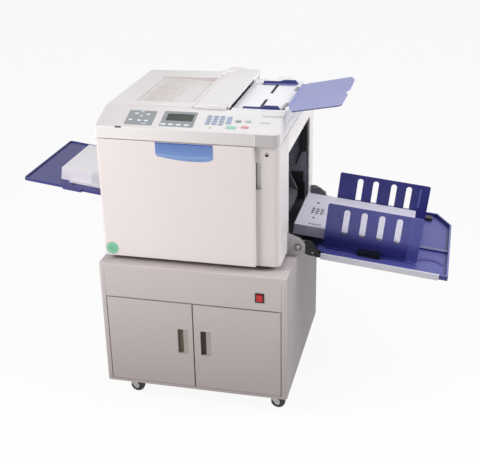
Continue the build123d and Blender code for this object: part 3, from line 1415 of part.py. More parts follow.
bed_front = path_centre_y - bed_width / 2
with BuildPart() as output_tray:
    with BuildSketch(tray_plane.offset(tray_floor_w)) as floor_outline:
        with BuildLine():
            Polyline(
                (tray_inner, tray_front), (tray_outer, tray_front), (tray_outer, tray_corner_y),
                (tray_corner_u, tray_rear), (tray_inner, tray_rear), close=True)
        make_face()
    extrude(amount=-tray_floor_thickness)
    with BuildSketch(tray_plane.offset(tray_floor_w)):
        add(floor_outline.sketch_local)
        offset(amount=-tray_rim_width, mode=Mode.SUBTRACT)
    extrude(amount=tray_rim)
    with BuildSketch(tray_plane.offset(tray_floor_w)):
        with Locations(((tray_inner + tray_rim_width) / 2, (tray_front + tray_rear) / 2)):
            Rectangle(tray_rim_width + tray_inner, tray_rear - tray_front + 10)
    extrude(amount=tray_rim + 1, mode=Mode.SUBTRACT)
    # paper bed
    with BuildSketch(tray_side(bed_front)):
        with BuildLine():
            Polyline(
                (bed_inner, bed_top_w), (bed_outer - 8, bed_top_w), (bed_outer, tray_floor_w),
                (tray_inner + 10, tray_floor_w - 2), (tray_inner - 14, tray_floor_w - 4),
                (bed_inner, bed_top_w - 16), close=True)
        make_face()
    extrude(amount=-bed_width)
    # rounded guide beside the inner end of the stack, on a foot that reaches in to the bed
    stack_rear = path_centre_y + print_width / 2
    with BuildSketch(tray_side(stack_rear + 1)) as corner_guide:
        with BuildLine():
            Polyline(
                (bed_inner + 4, -8), (bed_inner + 4, 62), (bed_inner + 34, 68), (bed_inner + 58, 50),
                (bed_inner + 62, -8), close=True)
        make_face()
        fillet(corner_guide.vertices(), 6)
    extrude(amount=-9)
    with BuildSketch(tray_side(bed_front + bed_width - 1)):
        with Locations((bed_inner + 34, -4)):
            Rectangle(44, 10)
    extrude(amount=-(stack_rear + 3 - bed_front - bed_width))
    # front rail
    with BuildSketch(tray_side(tray_front - 3)):
        with Locations(((rail_inner + rail_outer) / 2, tray_floor_w + tray_rim - rail_height / 2)):
            RectangleRounded(rail_outer - rail_inner, rail_height, 2)
    extrude(amount=-rail_width)
    # end stop rail on the outer floor
    with BuildSketch(tray_plane.offset(tray_floor_w)):
        with Locations(((bed_outer + tray_outer) / 2, 65)):
            Rectangle(tray_outer - bed_outer - 2, 17)
    extrude(amount=5)
    # arms with bored bosses
    for arm_y in (arm_front, arm_rear):
        with BuildSketch(tray_side(arm_y)):
            Circle(arm_boss)
            with BuildLine():
                Polyline(
                    (-2, arm_boss - 0.2), (34, 3), (arm_reach, -5), (arm_reach, tray_floor_w - 4),
                    (40, tray_floor_w - 7), (-4, -arm_boss + 0.6), close=True)
            make_face()
        extrude(amount=-arm_thickness)
    rod(
        tray_pivot_x, arm_front - 2, arm_rear + arm_thickness + 2, tray_pivot_z,
        tray_pin_radius + running_clearance, Mode.SUBTRACT)
output_tray.part.label = "output_tray"
export_step(output_tray.part, "parts/output_tray.step")

# Brackets screwed to the body's side, each with the pin that an arm turns on
with BuildPart() as tray_brackets:
    for plate_y, flange_y in (
            (arm_front - bracket_gap - bracket_plate, arm_front - bracket_gap - bracket_plate),
            (arm_rear + arm_thickness + bracket_gap, arm_rear + arm_thickness + bracket_gap + bracket_plate - 20)):
        with BuildSketch(Plane.XZ.offset(-plate_y)) as bracket_outline:
            with BuildLine():
                Polyline(
                    (body_right, bracket_top), (body_right + 22, bracket_top),
                    (body_right + bracket_reach, bracket_top - 24),
                    (body_right + bracket_reach, bracket_bottom + 14),
                    (body_right + bracket_reach - 12, bracket_bottom),
                    (body_right, bracket_bottom), close=True)
            make_face()
            fillet(bracket_outline.vertices().group_by(Axis.X)[-1], 6)
        extrude(amount=-bracket_plate)
        block(
            body_right, body_right + bracket_plate, flange_y, flange_y + 20,
            body_bottom + 4, bracket_top)
    rod(
        tray_pivot_x, arm_front - bracket_gap - bracket_plate - 3, arm_front + arm_thickness + 1,
        tray_pivot_z, tray_pin_radius)
    rod(
        tray_pivot_x, arm_front - bracket_gap - bracket_plate - 3, arm_front - bracket_gap - bracket_plate,
        tray_pivot_z, tray_pin_radius + 4)
    rod(
        tray_pivot_x, arm_rear - 1, arm_rear + arm_thickness + bracket_gap + bracket_plate + 3,
        tray_pivot_z, tray_pin_radius)
    rod(
        tray_pivot_x, arm_rear + arm_thickness + bracket_gap + bracket_plate,
        arm_rear + arm_thickness + bracket_gap + bracket_plate + 3, tray_pivot_z, tray_pin_radius + 4)
tray_brackets.part.label = "tray_brackets"
export_step(tray_brackets.part, "parts/tray_brackets.step")

with BuildPart() as printed_paper:
    with BuildSketch(tray_plane.offset(bed_top_w)):
        with Locations((print_inner + print_length / 2, path_centre_y)):
            Rectangle(print_length, print_width)
    extrude(amount=print_height)
printed_paper.part.label = "printed_paper"
export_step(printed_paper.part, "parts/printed_paper.step")

# Side fences: slotted plates with a foot and a clamp that stand on the tray's floor
fence_base = tray_floor_w + fence_lift
front_face = path_centre_y - fence_spacing / 2
rear_face = path_centre_y + fence_spacing / 2
clip_u = fence_inner + fence_length / 2
with BuildPart() as side_fence_front:
    with BuildSketch(tray_side(front_face)):
        with Locations((fence_inner + fence_length / 2, fence_base + fence_height / 2)):
            RectangleRounded(fence_length, fence_height, 7)
        for slot in range(4):
            with Locations((
                    fence_inner + fence_slot_first + slot * fence_slot_pitch,
                    fence_base + fence_slot_rise + fence_slot_height / 2)):
                SlotOverall(fence_slot_height, fence_slot_width, rotation=90, mode=Mode.SUBTRACT)
    extrude(amount=fence_thickness)
    with BuildSketch(tray_plane.offset(fence_base)):
        with Locations((clip_u, front_face - fence_thickness - fence_foot / 2)):
            Rectangle(fence_length - 20, fence_foot)
    extrude(amount=2.5)
    with BuildSketch(tray_plane.offset(fence_base)):
        with Locations((clip_u, front_face - fence_thickness - fence_clip_depth / 2)):
            RectangleRounded(fence_clip_length, fence_clip_depth, 5)
    extrude(amount=15)
side_fence_front.part.label = "side_fence_front"
export_step(side_fence_front.part, "parts/side_fence_front.step")

# The rear fence is a little longer, its slots sit further out, and a groove marks its folding end
with BuildPart() as side_fence_rear:
    with BuildSketch(tray_side(rear_face)):
        with Locations((fence_inner + fence_rear_length / 2, fence_base + fence_height / 2)):
            RectangleRounded(fence_rear_length, fence_height, 7)
        for slot_place in fence_rear_slots:
            with Locations((fence_inner + slot_place, fence_base + fence_slot_rise + fence_slot_height / 2)):
                SlotOverall(fence_slot_height, fence_slot_width, rotation=90, mode=Mode.SUBTRACT)
    extrude(amount=-fence_thickness)
    with BuildSketch(tray_side(rear_face)):
        with Locations((fence_inner + fence_groove_place, fence_base + fence_height / 2)):
            Rectangle(1.6, fence_height)
    extrude(amount=-0.8, mode=Mode.SUBTRACT)
    with BuildSketch(tray_plane.offset(fence_base)):
        with Locations((clip_u, rear_face + fence_thickness + fence_foot / 2)):
            Rectangle(fence_length - 20, fence_foot)
    extrude(amount=2.5)
    with BuildSketch(tray_plane.offset(fence_base)):
        with Locations((clip_u, rear_face + fence_thickness + fence_clip_depth / 2)):
            RectangleRounded(fence_clip_length, fence_clip_depth, 5)
    extrude(amount=15)
side_fence_rear.part.label = "side_fence_rear"
export_step(side_fence_rear.part, "parts/side_fence_rear.step")
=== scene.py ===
# %% [markdown]
# A digital duplicator stands on a cabinet with two doors. The solid model is already packed, so this
# lesson only dresses it: it gives every moulding, board, metal part and paper stack its finish, and adds
# the thin pieces that a solid model leaves out. The first cell loads the packed model.

import math
from functools import partialmethod

import bmesh
import bpy
from mathutils import Matrix, Vector


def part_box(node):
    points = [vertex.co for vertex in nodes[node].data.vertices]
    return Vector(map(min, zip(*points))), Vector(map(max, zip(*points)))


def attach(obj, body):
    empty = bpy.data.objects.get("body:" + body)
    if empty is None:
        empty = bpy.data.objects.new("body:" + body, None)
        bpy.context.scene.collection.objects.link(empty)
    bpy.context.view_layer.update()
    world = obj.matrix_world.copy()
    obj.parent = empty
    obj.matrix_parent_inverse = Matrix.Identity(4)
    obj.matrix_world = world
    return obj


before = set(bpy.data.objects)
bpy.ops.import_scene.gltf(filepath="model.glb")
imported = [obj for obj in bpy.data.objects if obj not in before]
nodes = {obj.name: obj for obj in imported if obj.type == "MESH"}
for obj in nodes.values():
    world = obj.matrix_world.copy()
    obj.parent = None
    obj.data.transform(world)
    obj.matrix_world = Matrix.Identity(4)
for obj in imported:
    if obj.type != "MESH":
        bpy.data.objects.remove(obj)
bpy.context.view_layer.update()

# %% [markdown]
# The photograph was taken from a little right of the machine and well above it. The camera's place and
# angles were worked out from straight edges of known direction, so they are written as numbers. The
# picture is slightly turned, which is the small roll.

# %% The camera
def axes_at(place, across, along, out):
    """Gives the matrix that puts a thing at a place, with its axes along three directions."""
    return Matrix.Translation(place) @ Matrix((across, along, out)).transposed().to_4x4()


azimuth, elevation, roll = (math.radians(angle) for angle in (13.80, 23.80, -1.14))
camera_place = (0.7998, -2.8782, 1.8495)
focal_pixels, picture_pixels, sensor_width = 919.2, 480, 36.0
back = Vector((
    math.sin(azimuth) * math.cos(elevation),
    -math.cos(azimuth) * math.cos(elevation),
    math.sin(elevation)))
side = Vector((math.cos(azimuth), math.sin(azimuth), 0))
above = back.cross(side)
right = side * math.cos(roll) + above * math.sin(roll)
up = above * math.cos(roll) - side * math.sin(roll)
camera_data = bpy.data.cameras.new("camera")
camera_data.sensor_width = sensor_width
camera_data.lens = focal_pixels / picture_pixels * sensor_width
camera_data.clip_start = 0.05
camera_data.clip_end = 60.0
camera = bpy.data.objects.new("camera", camera_data)
camera.matrix_world = axes_at(camera_place, right, up, back)
bpy.context.scene.collection.objects.link(camera)
bpy.context.scene.camera = camera
print("lens in mm:", round(camera_data.lens, 2))

# %% [markdown]
# A catalogue picture has an even, pale surround. The floor is one large pale sheet. The world is a soft
# grey light for the object, and white for what the camera, mirrors and glass see, so the background
# stays white without more light on the machine.

# %% The floor and the surround
bpy.context.scene.view_settings.view_transform = "Standard"
floor_mesh = bpy.data.meshes.new("studio_floor")
reach = 9.0
floor_mesh.from_pydata(
    [(-reach, -reach, 0), (reach, -reach, 0), (reach, reach, 0), (-reach, reach, 0)], [], [(0, 1, 2, 3)])
floor = bpy.data.objects.new("studio_floor", floor_mesh)
bpy.context.scene.collection.objects.link(floor)

world = bpy.data.worlds.new("studio")
bpy.context.scene.world = world
world.use_nodes = True
world_nodes = world.node_tree.nodes
world_nodes.clear()
rays = world_nodes.new("ShaderNodeLightPath")
seen = world_nodes.new("ShaderNodeMath")
seen_or_through = world_nodes.new("ShaderNodeMath")
for either in (seen, seen_or_through):
    either.operation = "MAXIMUM"
soft = world_nodes.new("ShaderNodeBackground")
soft.inputs["Color"].default_value = (0.93, 0.96, 1.0, 1)
soft.inputs["Strength"].default_value = 0.30
white = world_nodes.new("ShaderNodeBackground")
white.inputs["Strength"].default_value = 1.0
white.inputs["Color"].default_value = (1, 1, 1, 1)
choice = world_nodes.new("ShaderNodeMixShader")
world_output = world_nodes.new("ShaderNodeOutputWorld")
for source, socket in (
        (rays.outputs["Is Camera Ray"], seen.inputs[0]),
        (rays.outputs["Is Glossy Ray"], seen.inputs[1]),
        (seen.outputs[0], seen_or_through.inputs[0]),
        (rays.outputs["Is Transmission Ray"], seen_or_through.inputs[1]),
        (seen_or_through.outputs[0], choice.inputs[0]),
        (soft.outputs[0], choice.inputs[1]),
        (white.outputs[0], choice.inputs[2]),
        (choice.outputs[0], world_output.inputs[0])):
    world.node_tree.links.new(source, socket)
print("floor half width in m:", reach)

# %% [markdown]
# In the photograph the front is brightest at its left, the right side is nearly as bright, and the cabinet
# fades towards the floor. A near lamp at the front left and one high at the right give that, because light
# falls off with distance. A weak one above lifts the top. Large lamps make soft shadows.

# %% The lamps
def lamp(name, place, target, size, watts, colour=(1, 1, 1)):
    """Hangs one square soft lamp that points at a target."""
    data = bpy.data.lights.new(name, "AREA")
    data.shape = "SQUARE"
    data.size = size
    data.energy = watts
    data.color = colour
    lamp_object = bpy.data.objects.new(name, data)
    lamp_object.location = place
    aim = Vector(target) - Vector(place)
    lamp_object.rotation_mode = "QUATERNION"
    lamp_object.rotation_quaternion = aim.to_track_quat("-Z", "Y")
    bpy.context.scene.collection.objects.link(lamp_object)
    return lamp_object


lamps = [
    lamp("key_lamp", (-1.95, -1.7, 2.1), (0, 0, 0.75), 1.3, 64, (1, 0.975, 0.96)),
    lamp("right_lamp", (2.2, -0.15, 2.0), (0.3, 0, 0.9), 1.2, 38, (0.96, 0.97, 1)),
    lamp("top_lamp", (0.3, 0.8, 3.4), (0, 0, 0.9), 1.6, 7),
]
print("lamps:", [f"{each.name} {each.data.energy} W" for each in lamps])

# %% [markdown]
# Every finish below is sums on textures, such as a grain times a mask. Node graphs built by hand get
# long, so a small class wraps one socket and lets Python's signs add the Math nodes. The sums differ only
# in the node's operation, so each is one method with that operation filled in.

# %% Sums on sockets
class Amount:
    """A number that varies over a surface, with Python's own signs for its sums."""

    def __init__(self, finish, socket):
        self.finish = finish
        self.socket = socket

    def sum_with(self, operation, other=0.0):
        return self.finish.amount("ShaderNodeMath", {"operation": operation}, {0: self, 1: other})

    __add__ = partialmethod(sum_with, "ADD")
    __sub__ = partialmethod(sum_with, "SUBTRACT")
    __mul__ = partialmethod(sum_with, "MULTIPLY")
    __truediv__ = partialmethod(sum_with, "DIVIDE")
    __gt__ = partialmethod(sum_with, "GREATER_THAN")
    __lt__ = partialmethod(sum_with, "LESS_THAN")
    __abs__ = partialmethod(sum_with, "ABSOLUTE")
    most = partialmethod(sum_with, "MAXIMUM")
    fraction = partialmethod(sum_with, "FRACT")


print("sums ready:", [name for name, kind in vars(Amount).items() if isinstance(kind, partialmethod)])

# %% [markdown]
# A finish is one material with its shader. Its node method makes any node: first its settings, because
# some of them change which sockets it has, and then its sockets. Colours are written as the six-figure
# codes of a paint chart, and turned into the linear values that the shader works in.

# %% Finishes
def paint(code):
    """Turns a six-figure colour code into a linear colour."""
    parts = [int(code[place:place + 2], 16) / 255 for place in (0, 2, 4)]
    linear = [part / 12.92 if part <= 0.04045 else ((part + 0.055) / 1.055) ** 2.4 for part in parts]
    return (*linear, 1.0)


class Finish:
    """One material, its shader and short ways to reach positions, grain and mixes of colour."""

    def __init__(self, name, roughness=0.5, metallic=0.0):
        self.material = bpy.data.materials.new(name)
        self.material.use_nodes = True
        self.tree = self.material.node_tree
        self.shader = self.tree.nodes["Principled BSDF"]
        self.shader.inputs["Roughness"].default_value = roughness
        self.shader.inputs["Metallic"].default_value = metallic
        self.place = self.node("ShaderNodeTexCoord").outputs["Object"]
        apart = self.node("ShaderNodeSeparateXYZ", {}, {0: Amount(self, self.place)})
        self.x, self.y, self.z = (Amount(self, apart.outputs[axis]) for axis in range(3))

    def node(self, kind, settings=None, inputs=None):
        made = self.tree.nodes.new(kind)
        for key, value in (settings or {}).items():
            setattr(made, key, value)
        for key, value in (inputs or {}).items():
            self.plug(made.inputs[key], value)
        return made

    def amount(self, kind, settings, inputs, output=0):
        """Makes a node and gives one of its outputs."""
        return Amount(self, self.node(kind, settings, inputs).outputs[output])

    def plug(self, socket, value):
        """Links an amount to a socket, or sets the socket to a constant or a colour's code."""
        if isinstance(value, Amount):
            self.tree.links.new(value.socket, socket)
        else:
            socket.default_value = paint(value) if isinstance(value, str) else value

    def compare(self, operation, socket, vector):
        """Sets one vector of the surface against a constant one, and gives a number."""
        inputs = {0: Amount(self, socket), 1: vector}
        return self.amount("ShaderNodeVectorMath", {"operation": operation}, inputs, "Value")

    def along(self, direction, origin):
        """Gives how far a place lies from an origin in one direction, in metres."""
        return self.compare("DOT_PRODUCT", self.place, direction) - Vector(direction).dot(origin)

    def away_from(self, point):
        """Gives how far a place lies from a point, in metres."""
        return self.compare("DISTANCE", self.place, point)

    def facing(self, direction):
        """Gives how squarely the surface faces one direction, up to 1."""
        return self.compare("DOT_PRODUCT", self.node("ShaderNodeTexCoord").outputs["Normal"], direction)

    def fade(self, value, start, end, top=1.0):
        """Gives 0 at the start and top at the end; the value is an amount or an axis by its letter."""
        value = getattr(self, value) if isinstance(value, str) else value
        return self.amount("ShaderNodeMapRange", {}, {0: value, 1: start, 2: end, 3: 0.0, 4: top})

    def grain(self, scale, detail=2.0, stretch=(1, 1, 1)):
        """Gives a cloudy pattern from 0 to 1; a scale of 1000 is about one patch each millimetre."""
        inputs = {0: Amount(self, self.place), 1: stretch}
        place = self.amount("ShaderNodeVectorMath", {"operation": "MULTIPLY"}, inputs)
        return self.amount("ShaderNodeTexNoise", {}, {"Vector": place, "Scale": scale, "Detail": detail})

    def between(self, low, high, value, soft=0.0005):
        """Gives 1 where a value lies between two others, with a soft edge."""
        return self.fade(value, low - soft, low + soft) * self.fade(value, high + soft, high - soft)

    def mix(self, share, first, second):
        """Mixes two colours, each a code or a colour made before."""
        return self.amount("ShaderNodeMix", {"data_type": "RGBA"}, {0: share, 6: first, 7: second}, 2)

    def layers(self, tone, *masked):
        """Lays further colours over a first one, each by its own mask."""
        for mask, over in masked:
            tone = self.mix(mask, tone, over)
        return tone

    def colour(self, value):
        self.plug(self.shader.inputs["Base Color"], value)

    def roughness(self, value):
        self.plug(self.shader.inputs["Roughness"], value)

    def bump(self, height, distance, strength=1.0):
        made = self.node("ShaderNodeBump", {}, {"Height": height, "Distance": distance, "Strength": strength})
        self.tree.links.new(made.outputs[0], self.shader.inputs["Normal"])


def dress(finish, *names):
    """Gives a finish to CAD nodes or to new pieces."""
    for name in names:
        piece = nodes[name] if isinstance(name, str) else name
        if not piece.data.materials:
            piece.data.materials.append(finish.material)
        for place in piece.material_slots:
            place.material = finish.material


print("white as a linear colour:", [round(v, 3) for v in paint("F0EBE7")])

# %% [markdown]
# The floor gets a real finish too: a pale paper roll with hardly any grain. Far from the lamps it would
# turn grey, so what the camera and mirrors see of it is partly lit by itself. It still holds the shadow.

# %% The floor's finish
backdrop = Finish("studio_paper", roughness=0.9)
backdrop.colour(backdrop.mix(backdrop.grain(3.0), "F2F2F2", "F6F6F6"))
floor_rays = backdrop.node("ShaderNodeLightPath")
ray_kinds = ("Camera", "Glossy", "Transmission")
seen_by = [Amount(backdrop, floor_rays.outputs[f"Is {kind} Ray"]) for kind in ray_kinds]
floor_seen = seen_by[0].most(seen_by[1]).most(seen_by[2])
own_light = backdrop.node("ShaderNodeEmission", {}, {"Color": (1, 1, 1, 1), "Strength": 1.0})
blend = backdrop.node("ShaderNodeMixShader", {}, {0: floor_seen * 0.92})
surface = backdrop.tree.nodes["Material Output"].inputs["Surface"]
for source, socket in (
        (backdrop.shader, blend.inputs[1]), (own_light, blend.inputs[2]), (blend, surface)):
    backdrop.tree.links.new(source.outputs[0], socket)
floor_mesh.materials.append(backdrop.material)
print("floor finish:", backdrop.material.name)

# %% [markdown]
# The covers are moulded in a warm white plastic with a spark-eroded grain: under a millimetre, and only
# felt in the way the light breaks up. One function makes all plain mouldings, because they differ only
# in colour, gloss and grain.

# %% Moulded plastic
def moulded(name, light, dark, gloss=0.45, grain_size=0.9):
    """Makes a grained moulding: a slow drift between two tones, and a fine bump."""
    finish = Finish(name, roughness=gloss)
    drift = finish.grain(5.0, 3.0)
    fine = finish.grain(1000 / grain_size, 1.0)
    finish.colour(finish.mix(drift * 0.75 + fine * 0.25, light, dark))
    finish.roughness(drift * 0.10 + (gloss - 0.05))
    finish.bump(fine, 0.00005, 0.5)
    return finish


shell = moulded("white_moulding", "F4EFEC", "EDE7E4", 0.42)
cover_shell = moulded("front_cover_moulding", "F1E9E6", "EADFDC", 0.40)
column_shell = moulded("column_moulding", "E6DEDC", "DCD4D2", 0.42)
scanner_shell = moulded("scanner_moulding", "F1EEEC", "E9E5E3", 0.42)
console = moulded("console_moulding", "F1EEEC", "E9E5E3", 0.42)
lid = moulded("lid_moulding", "F3F0EE", "EBE7E6", 0.40)
feed_blue = moulded("feed_tray_moulding", "3C3D80", "343373", 0.40, 0.7)
flap_blue = moulded("flap_moulding", "979BCB", "8D91C3", 0.45, 0.7)
guide_blue = moulded("guide_moulding", "34357C", "2B2C6C", 0.38, 0.7)
guide_white = moulded("feed_guide_moulding", "DAD9DE", "CFCED6", 0.42)
black = moulded("black_moulding", "1E1D20", "161518", 0.45, 0.7)
dark_frame = moulded("painted_frame", "55565B", "4A4B50", 0.40, 1.5)
inner_frame = moulded("inner_frame_paint", "8C8A94", "7F7D88", 0.40, 1.5)
print("mouldings made:", len([m for m in bpy.data.materials if m.name.endswith("moulding")]))

# %% [markdown]
# The cabinet is board faced with a pinkish grey melamine. It has no wood grain, only a faint print. It
# darkens towards the floor and on its right side, and both are painted shade here, as darker tones.

# %% Cabinet board
cabinet_half_width = 0.320
melamine = Finish("cabinet_melamine", roughness=0.42)
speckle = melamine.grain(700, 2.0)
# Painted shade: the board is darker low down, and greyer still on its right face.
height_light_share = melamine.fade("z", 0.06, 0.50)
shaded_low_tone = melamine.mix(speckle, "ABA19F", "A59B99")
lit_high_tone = melamine.mix(speckle, "CFC6C4", "C8BEBD")
shaded_right_face = melamine.x > cabinet_half_width - 0.0005
board_tone = melamine.mix(height_light_share, shaded_low_tone, lit_high_tone)
melamine.colour(melamine.mix(shaded_right_face * 0.85, board_tone, "857980"))
melamine.roughness(melamine.grain(9.0) * 0.12 + 0.36)
melamine.bump(speckle, 0.00004, 0.4)
print("cabinet finish:", melamine.material.name)

# %% [markdown]
# Sheet steel here is zinc plated: a grey metal with crystal patches. Turned bars and rails are brighter,
# with fine lines along their length.

# %% Steels
zinc = Finish("zinc_sheet", roughness=0.38, metallic=1.0)
flake = zinc.grain(120, 1.0)
zinc.colour(zinc.mix(flake, "B5B4B6", "9C9B9E"))
zinc.roughness(flake * 0.2 + 0.28)
zinc.bump(flake, 0.00003, 0.4)

bright_bar = Finish("bright_bar", roughness=0.25, metallic=1.0)
lines = bright_bar.grain(900, 1.0, (1, 0.03, 1))
bright_bar.colour(bright_bar.mix(lines, "C9C9CC", "AFAFB3"))
bright_bar.roughness(lines * 0.15 + 0.2)
print("steels:", zinc.material.name, bright_bar.material.name)

# %% [markdown]
# Rollers are ground rubber, the feet and tyres are plain rubber, and each differs in grey. Rubber looks
# right when it is rough and nearly free of gloss.

# %% Rubbers
def rubber(name, tone, second_tone, gloss=0.7):
    """Makes a matt rubber with a dusty drift of tone."""
    finish = Finish(name, roughness=gloss)
    dust = finish.grain(60, 3.0)
    finish.colour(finish.mix(dust, tone, second_tone))
    finish.bump(finish.grain(900, 1.0), 0.00006, 0.5)
    return finish


roller_rubber = rubber("roller_rubber", "6A6A6E", "5C5C60")
foot_rubber = rubber("foot_rubber", "1B1B1C", "242425")
tyre_rubber = rubber("tyre_rubber", "4A474A", "3B393B", 0.6)
print("rubbers:", [each.material.name for each in (roller_rubber, foot_rubber, tyre_rubber)])

# %% [markdown]
# The console is one moulding, but the right end of its front, below the step, looks greyer. That is a
# mask made of three limits: right of the step, below the slope and near the front. The rest of the front
# darkens a little to the right, and the top is a greyer tone that darkens to the left; both are painted
# shade.

# %% The console's tones
step_x, console_end, slope_foot, front_depth = 0.2135, 0.40, 0.9885, -0.262
end_part = console.between(step_x, console_end, "x", 0.0004)
end_part = end_part * (console.z < slope_foot) * (console.y < front_depth)
fine = console.grain(1100, 1.0)
on_top = console.facing((0, 0, 1)) > 0.5
top_drift = console.grain(5.0, 3.0)
# Painted shade: the top is greyer than the front and darkens to the left, and the front darkens to the right.
left_top_shade = console.fade("x", 0.05, -0.30)
shaded_top_tone = console.mix(left_top_shade, console.mix(top_drift, "ECE9E9", "E5E2E2"), "D3CECE")
front_tone = console.mix(top_drift, "F3EEEC", "EBE6E4")
front_tone = console.mix(console.fade("x", -0.18, 0.20), front_tone, "DFD9D8")
pale = console.mix(on_top, front_tone, shaded_top_tone)
console.colour(console.mix(end_part, pale, console.mix(fine, "C8C2C2", "C1BBBB")))
print("console finish:", console.material.name)

# %% [markdown]
# The lid is plain white, but its recess is not. Originals slide into it, and it holds painted shade: its
# left end is darker, a soft painted shadow lies behind each rib, and its rear wall is greyer. The lid's top
# is painted darker towards its left too. Painted shade lies round the slots for the guides, and the original
# tray is whiter than the rest. All are masks: how far a place lies over the sloping floor, how far behind the
# last rib, and how far across the lid.

# %% The lid's recess, slots and tray
recess_left, recess_right, recess_floor, recess_slope = -0.221, -0.021, 1.02744, -0.0478
recess_front, recess_back, lid_top = -0.1222, 0.1948, 1.015
rib_end, rib_pitch = -0.104, 0.023
slot_x, slot_half_width = 0.200, 0.0055
over_floor = lid.z - (lid.x - recess_left) * recess_slope - recess_floor
across_recess = lid.between(recess_left - 0.0002, recess_right + 0.0002, "x", 0.0004)
inside = across_recess * lid.between(recess_front, recess_back, "y", 0.0004)
on_floor = inside * lid.between(-0.0006, 0.0023, over_floor, 0.0002)
# Painted shade on the recess floor, darker at its left end.
recess_shade = lid.fade("x", -0.03, -0.17, 0.72) * lid.fade("x", -0.2215, -0.196)
since_rib = ((lid.y - rib_end) / rib_pitch).fraction()
beside_ribs = lid.between(-0.215, -0.107, "x", 0.006)
beside_ribs = beside_ribs * lid.between(-0.110, 0.094, "y", 0.002)
# Painted shadow behind each rib.
rib_shade = lid.fade(since_rib, 0.75, 0.0, 0.75) * beside_ribs
# Painted shade on the recess's rear wall.
rear_wall = lid.between(recess_back - 0.0008, recess_back + 0.0014, "y", 0.0002)
rear_wall = rear_wall * (over_floor > 0.0006) * across_recess
on_top = lid.z > lid_top
# Painted shade: the lid's top darkens towards its left.
lid_left_shade = lid.fade("x", -0.05, -0.24, 0.9) * on_top
# Painted shade round the slots of the guides.
guide_slot_shade = lid.between(slot_x - slot_half_width, slot_x + slot_half_width, "x", 0.0003) * on_top
slot_length = lid.between(0.038, 0.173, "y", 0.0003).most(
    lid.between(-0.1615, -0.034, "y", 0.0003))
tray_end = lid.fade("x", 0.1105, 0.1125)
lid.colour(lid.layers(
    lid.mix(lid.grain(5.0, 3.0), "F3F0EE", "EBE7E6"),
    (lid_left_shade, "E1DCDB"), (on_floor * recess_shade, "CDC6C3"), (on_floor * rib_shade, "BDB1AD"),
    (rear_wall * 0.9, "BFB7B6"), (tray_end, "FBFBFE"), (guide_slot_shade * slot_length, "6F6B70")))
print("lid finish:", lid.material.name)

# %% [markdown]
# The flap is thin, and its front edge turns away from the light, so the edge is painted as a dark line of
# shade. The finish asks which way the surface faces. The finger recess of the column lies in its own shade,
# so painted light makes it a little lighter than the column, to come out right.

# %% Edges that face the front
# Painted shade on the flap's front edge.
flap_edge_shade = flap_blue.facing((0, -1, 0)) > 0.6
flap_tone = flap_blue.mix(flap_blue.grain(5.0, 3.0), "979BCB", "8D91C3")
flap_blue.colour(flap_blue.mix(flap_edge_shade, flap_tone, "4D4F82"))
grip_left, grip_right, grip_front, grip_back = 0.205, 0.240, -0.264, -0.225
# Painted light: the column's finger recess is lighter than the column.
recess_light = column_shell.between(grip_left, grip_right, "x", 0.0004)
recess_light = recess_light * (column_shell.y > grip_front) * (column_shell.y < grip_back)
column_tone = column_shell.mix(column_shell.grain(5.0, 3.0), "E6DEDC", "DCD4D2")
column_shell.colour(column_shell.mix(recess_light, column_tone, "F2EEEC"))
print("faces asked:", [flap_blue.material.name, column_shell.material.name])

# %% [markdown]
# A stack of paper shows its sheets as fine lines on its sides only. The stacks are tilted with their
# trays, so the lines follow the distance square to the tray. On the top face that distance is the same
# all over, so no line shows there.

# %% Paper
feed_tilt = math.radians(7.5)
tray_tilt = math.radians(6.2)
feed_square = (math.sin(feed_tilt), 0, math.cos(feed_tilt))
tray_square = (math.sin(tray_tilt), 0, math.cos(tray_tilt))
tray_pivot = (0.324, 0, 0.560)
feed_origin, feed_stack_height = (-0.305, 0, 0.6705), 0.044
printed_height = 0.0427


def paper(name, sheet, shade, square, origin, top, top_sheet):
    """Makes stacked paper: sheet edges on its sides, and one plain sheet on top."""
    finish = Finish(name, roughness=0.75)
    level = finish.along(square, origin)
    line = finish.amount(
        "ShaderNodeTexNoise", {"noise_dimensions": "1D"}, {"W": level, "Scale": 620.0, "Detail": 3.0})
    sides = finish.mix(line * 2.2 - 0.6, shade, sheet)
    on_top = level > top - 0.0004
    fibre = finish.grain(350, 3.0)
    finish.colour(finish.mix(on_top, sides, finish.mix(fibre * 0.35, top_sheet, shade)))
    finish.bump(line, 0.0003, 0.5)
    return finish


white_paper = paper(
    "white_paper", "F3F1F5", "DAD6DF", feed_square, feed_origin, feed_stack_height, "F6F5F8")
# Painted shade: the printed stack's sides are a darker tone than its top sheet.
printed_sheets = paper(
    "printed_sheets", "C4BCCE", "A69DB2", tray_square, tray_pivot, printed_height, "EAE7F1")
roll_paper = paper("master_paper", "E9E6DC", "D8D4C8", (1, 0, 0), (0, 0, 0), 9.0, "E9E6DC")
print("papers:", [each.material.name for each in (white_paper, printed_sheets, roll_paper)])

# %% [markdown]
# The output tray is one blue moulding with black arms, a silvery front rail and a dark guide beside the
# stack. Its floor is painted paler than its rim, as painted light that falls flat on it, its outer rim
# carries a painted highlight, and the bed's side by the stack carries painted shade. Each part is a mask on
# places along the tray: u outward, y to the rear and w square to the floor.

# %% The output tray's finish
slope_u = (math.cos(tray_tilt), 0, -math.sin(tray_tilt))
tray = Finish("tray_moulding", roughness=0.38)
tray_u = tray.along(slope_u, tray_pivot)
tray_w = tray.along(tray_square, tray_pivot)
drift = tray.grain(5.0, 3.0)
fine = tray.grain(1400, 1.0)
floor_w, rim_w = -0.0190, -0.0070
front_arm_y, rear_arm_y, rear_arm_end = -0.1275, 0.3315, 0.0925
rail_y, rail_start, rail_end = -0.1362, 0.0785, 0.4685
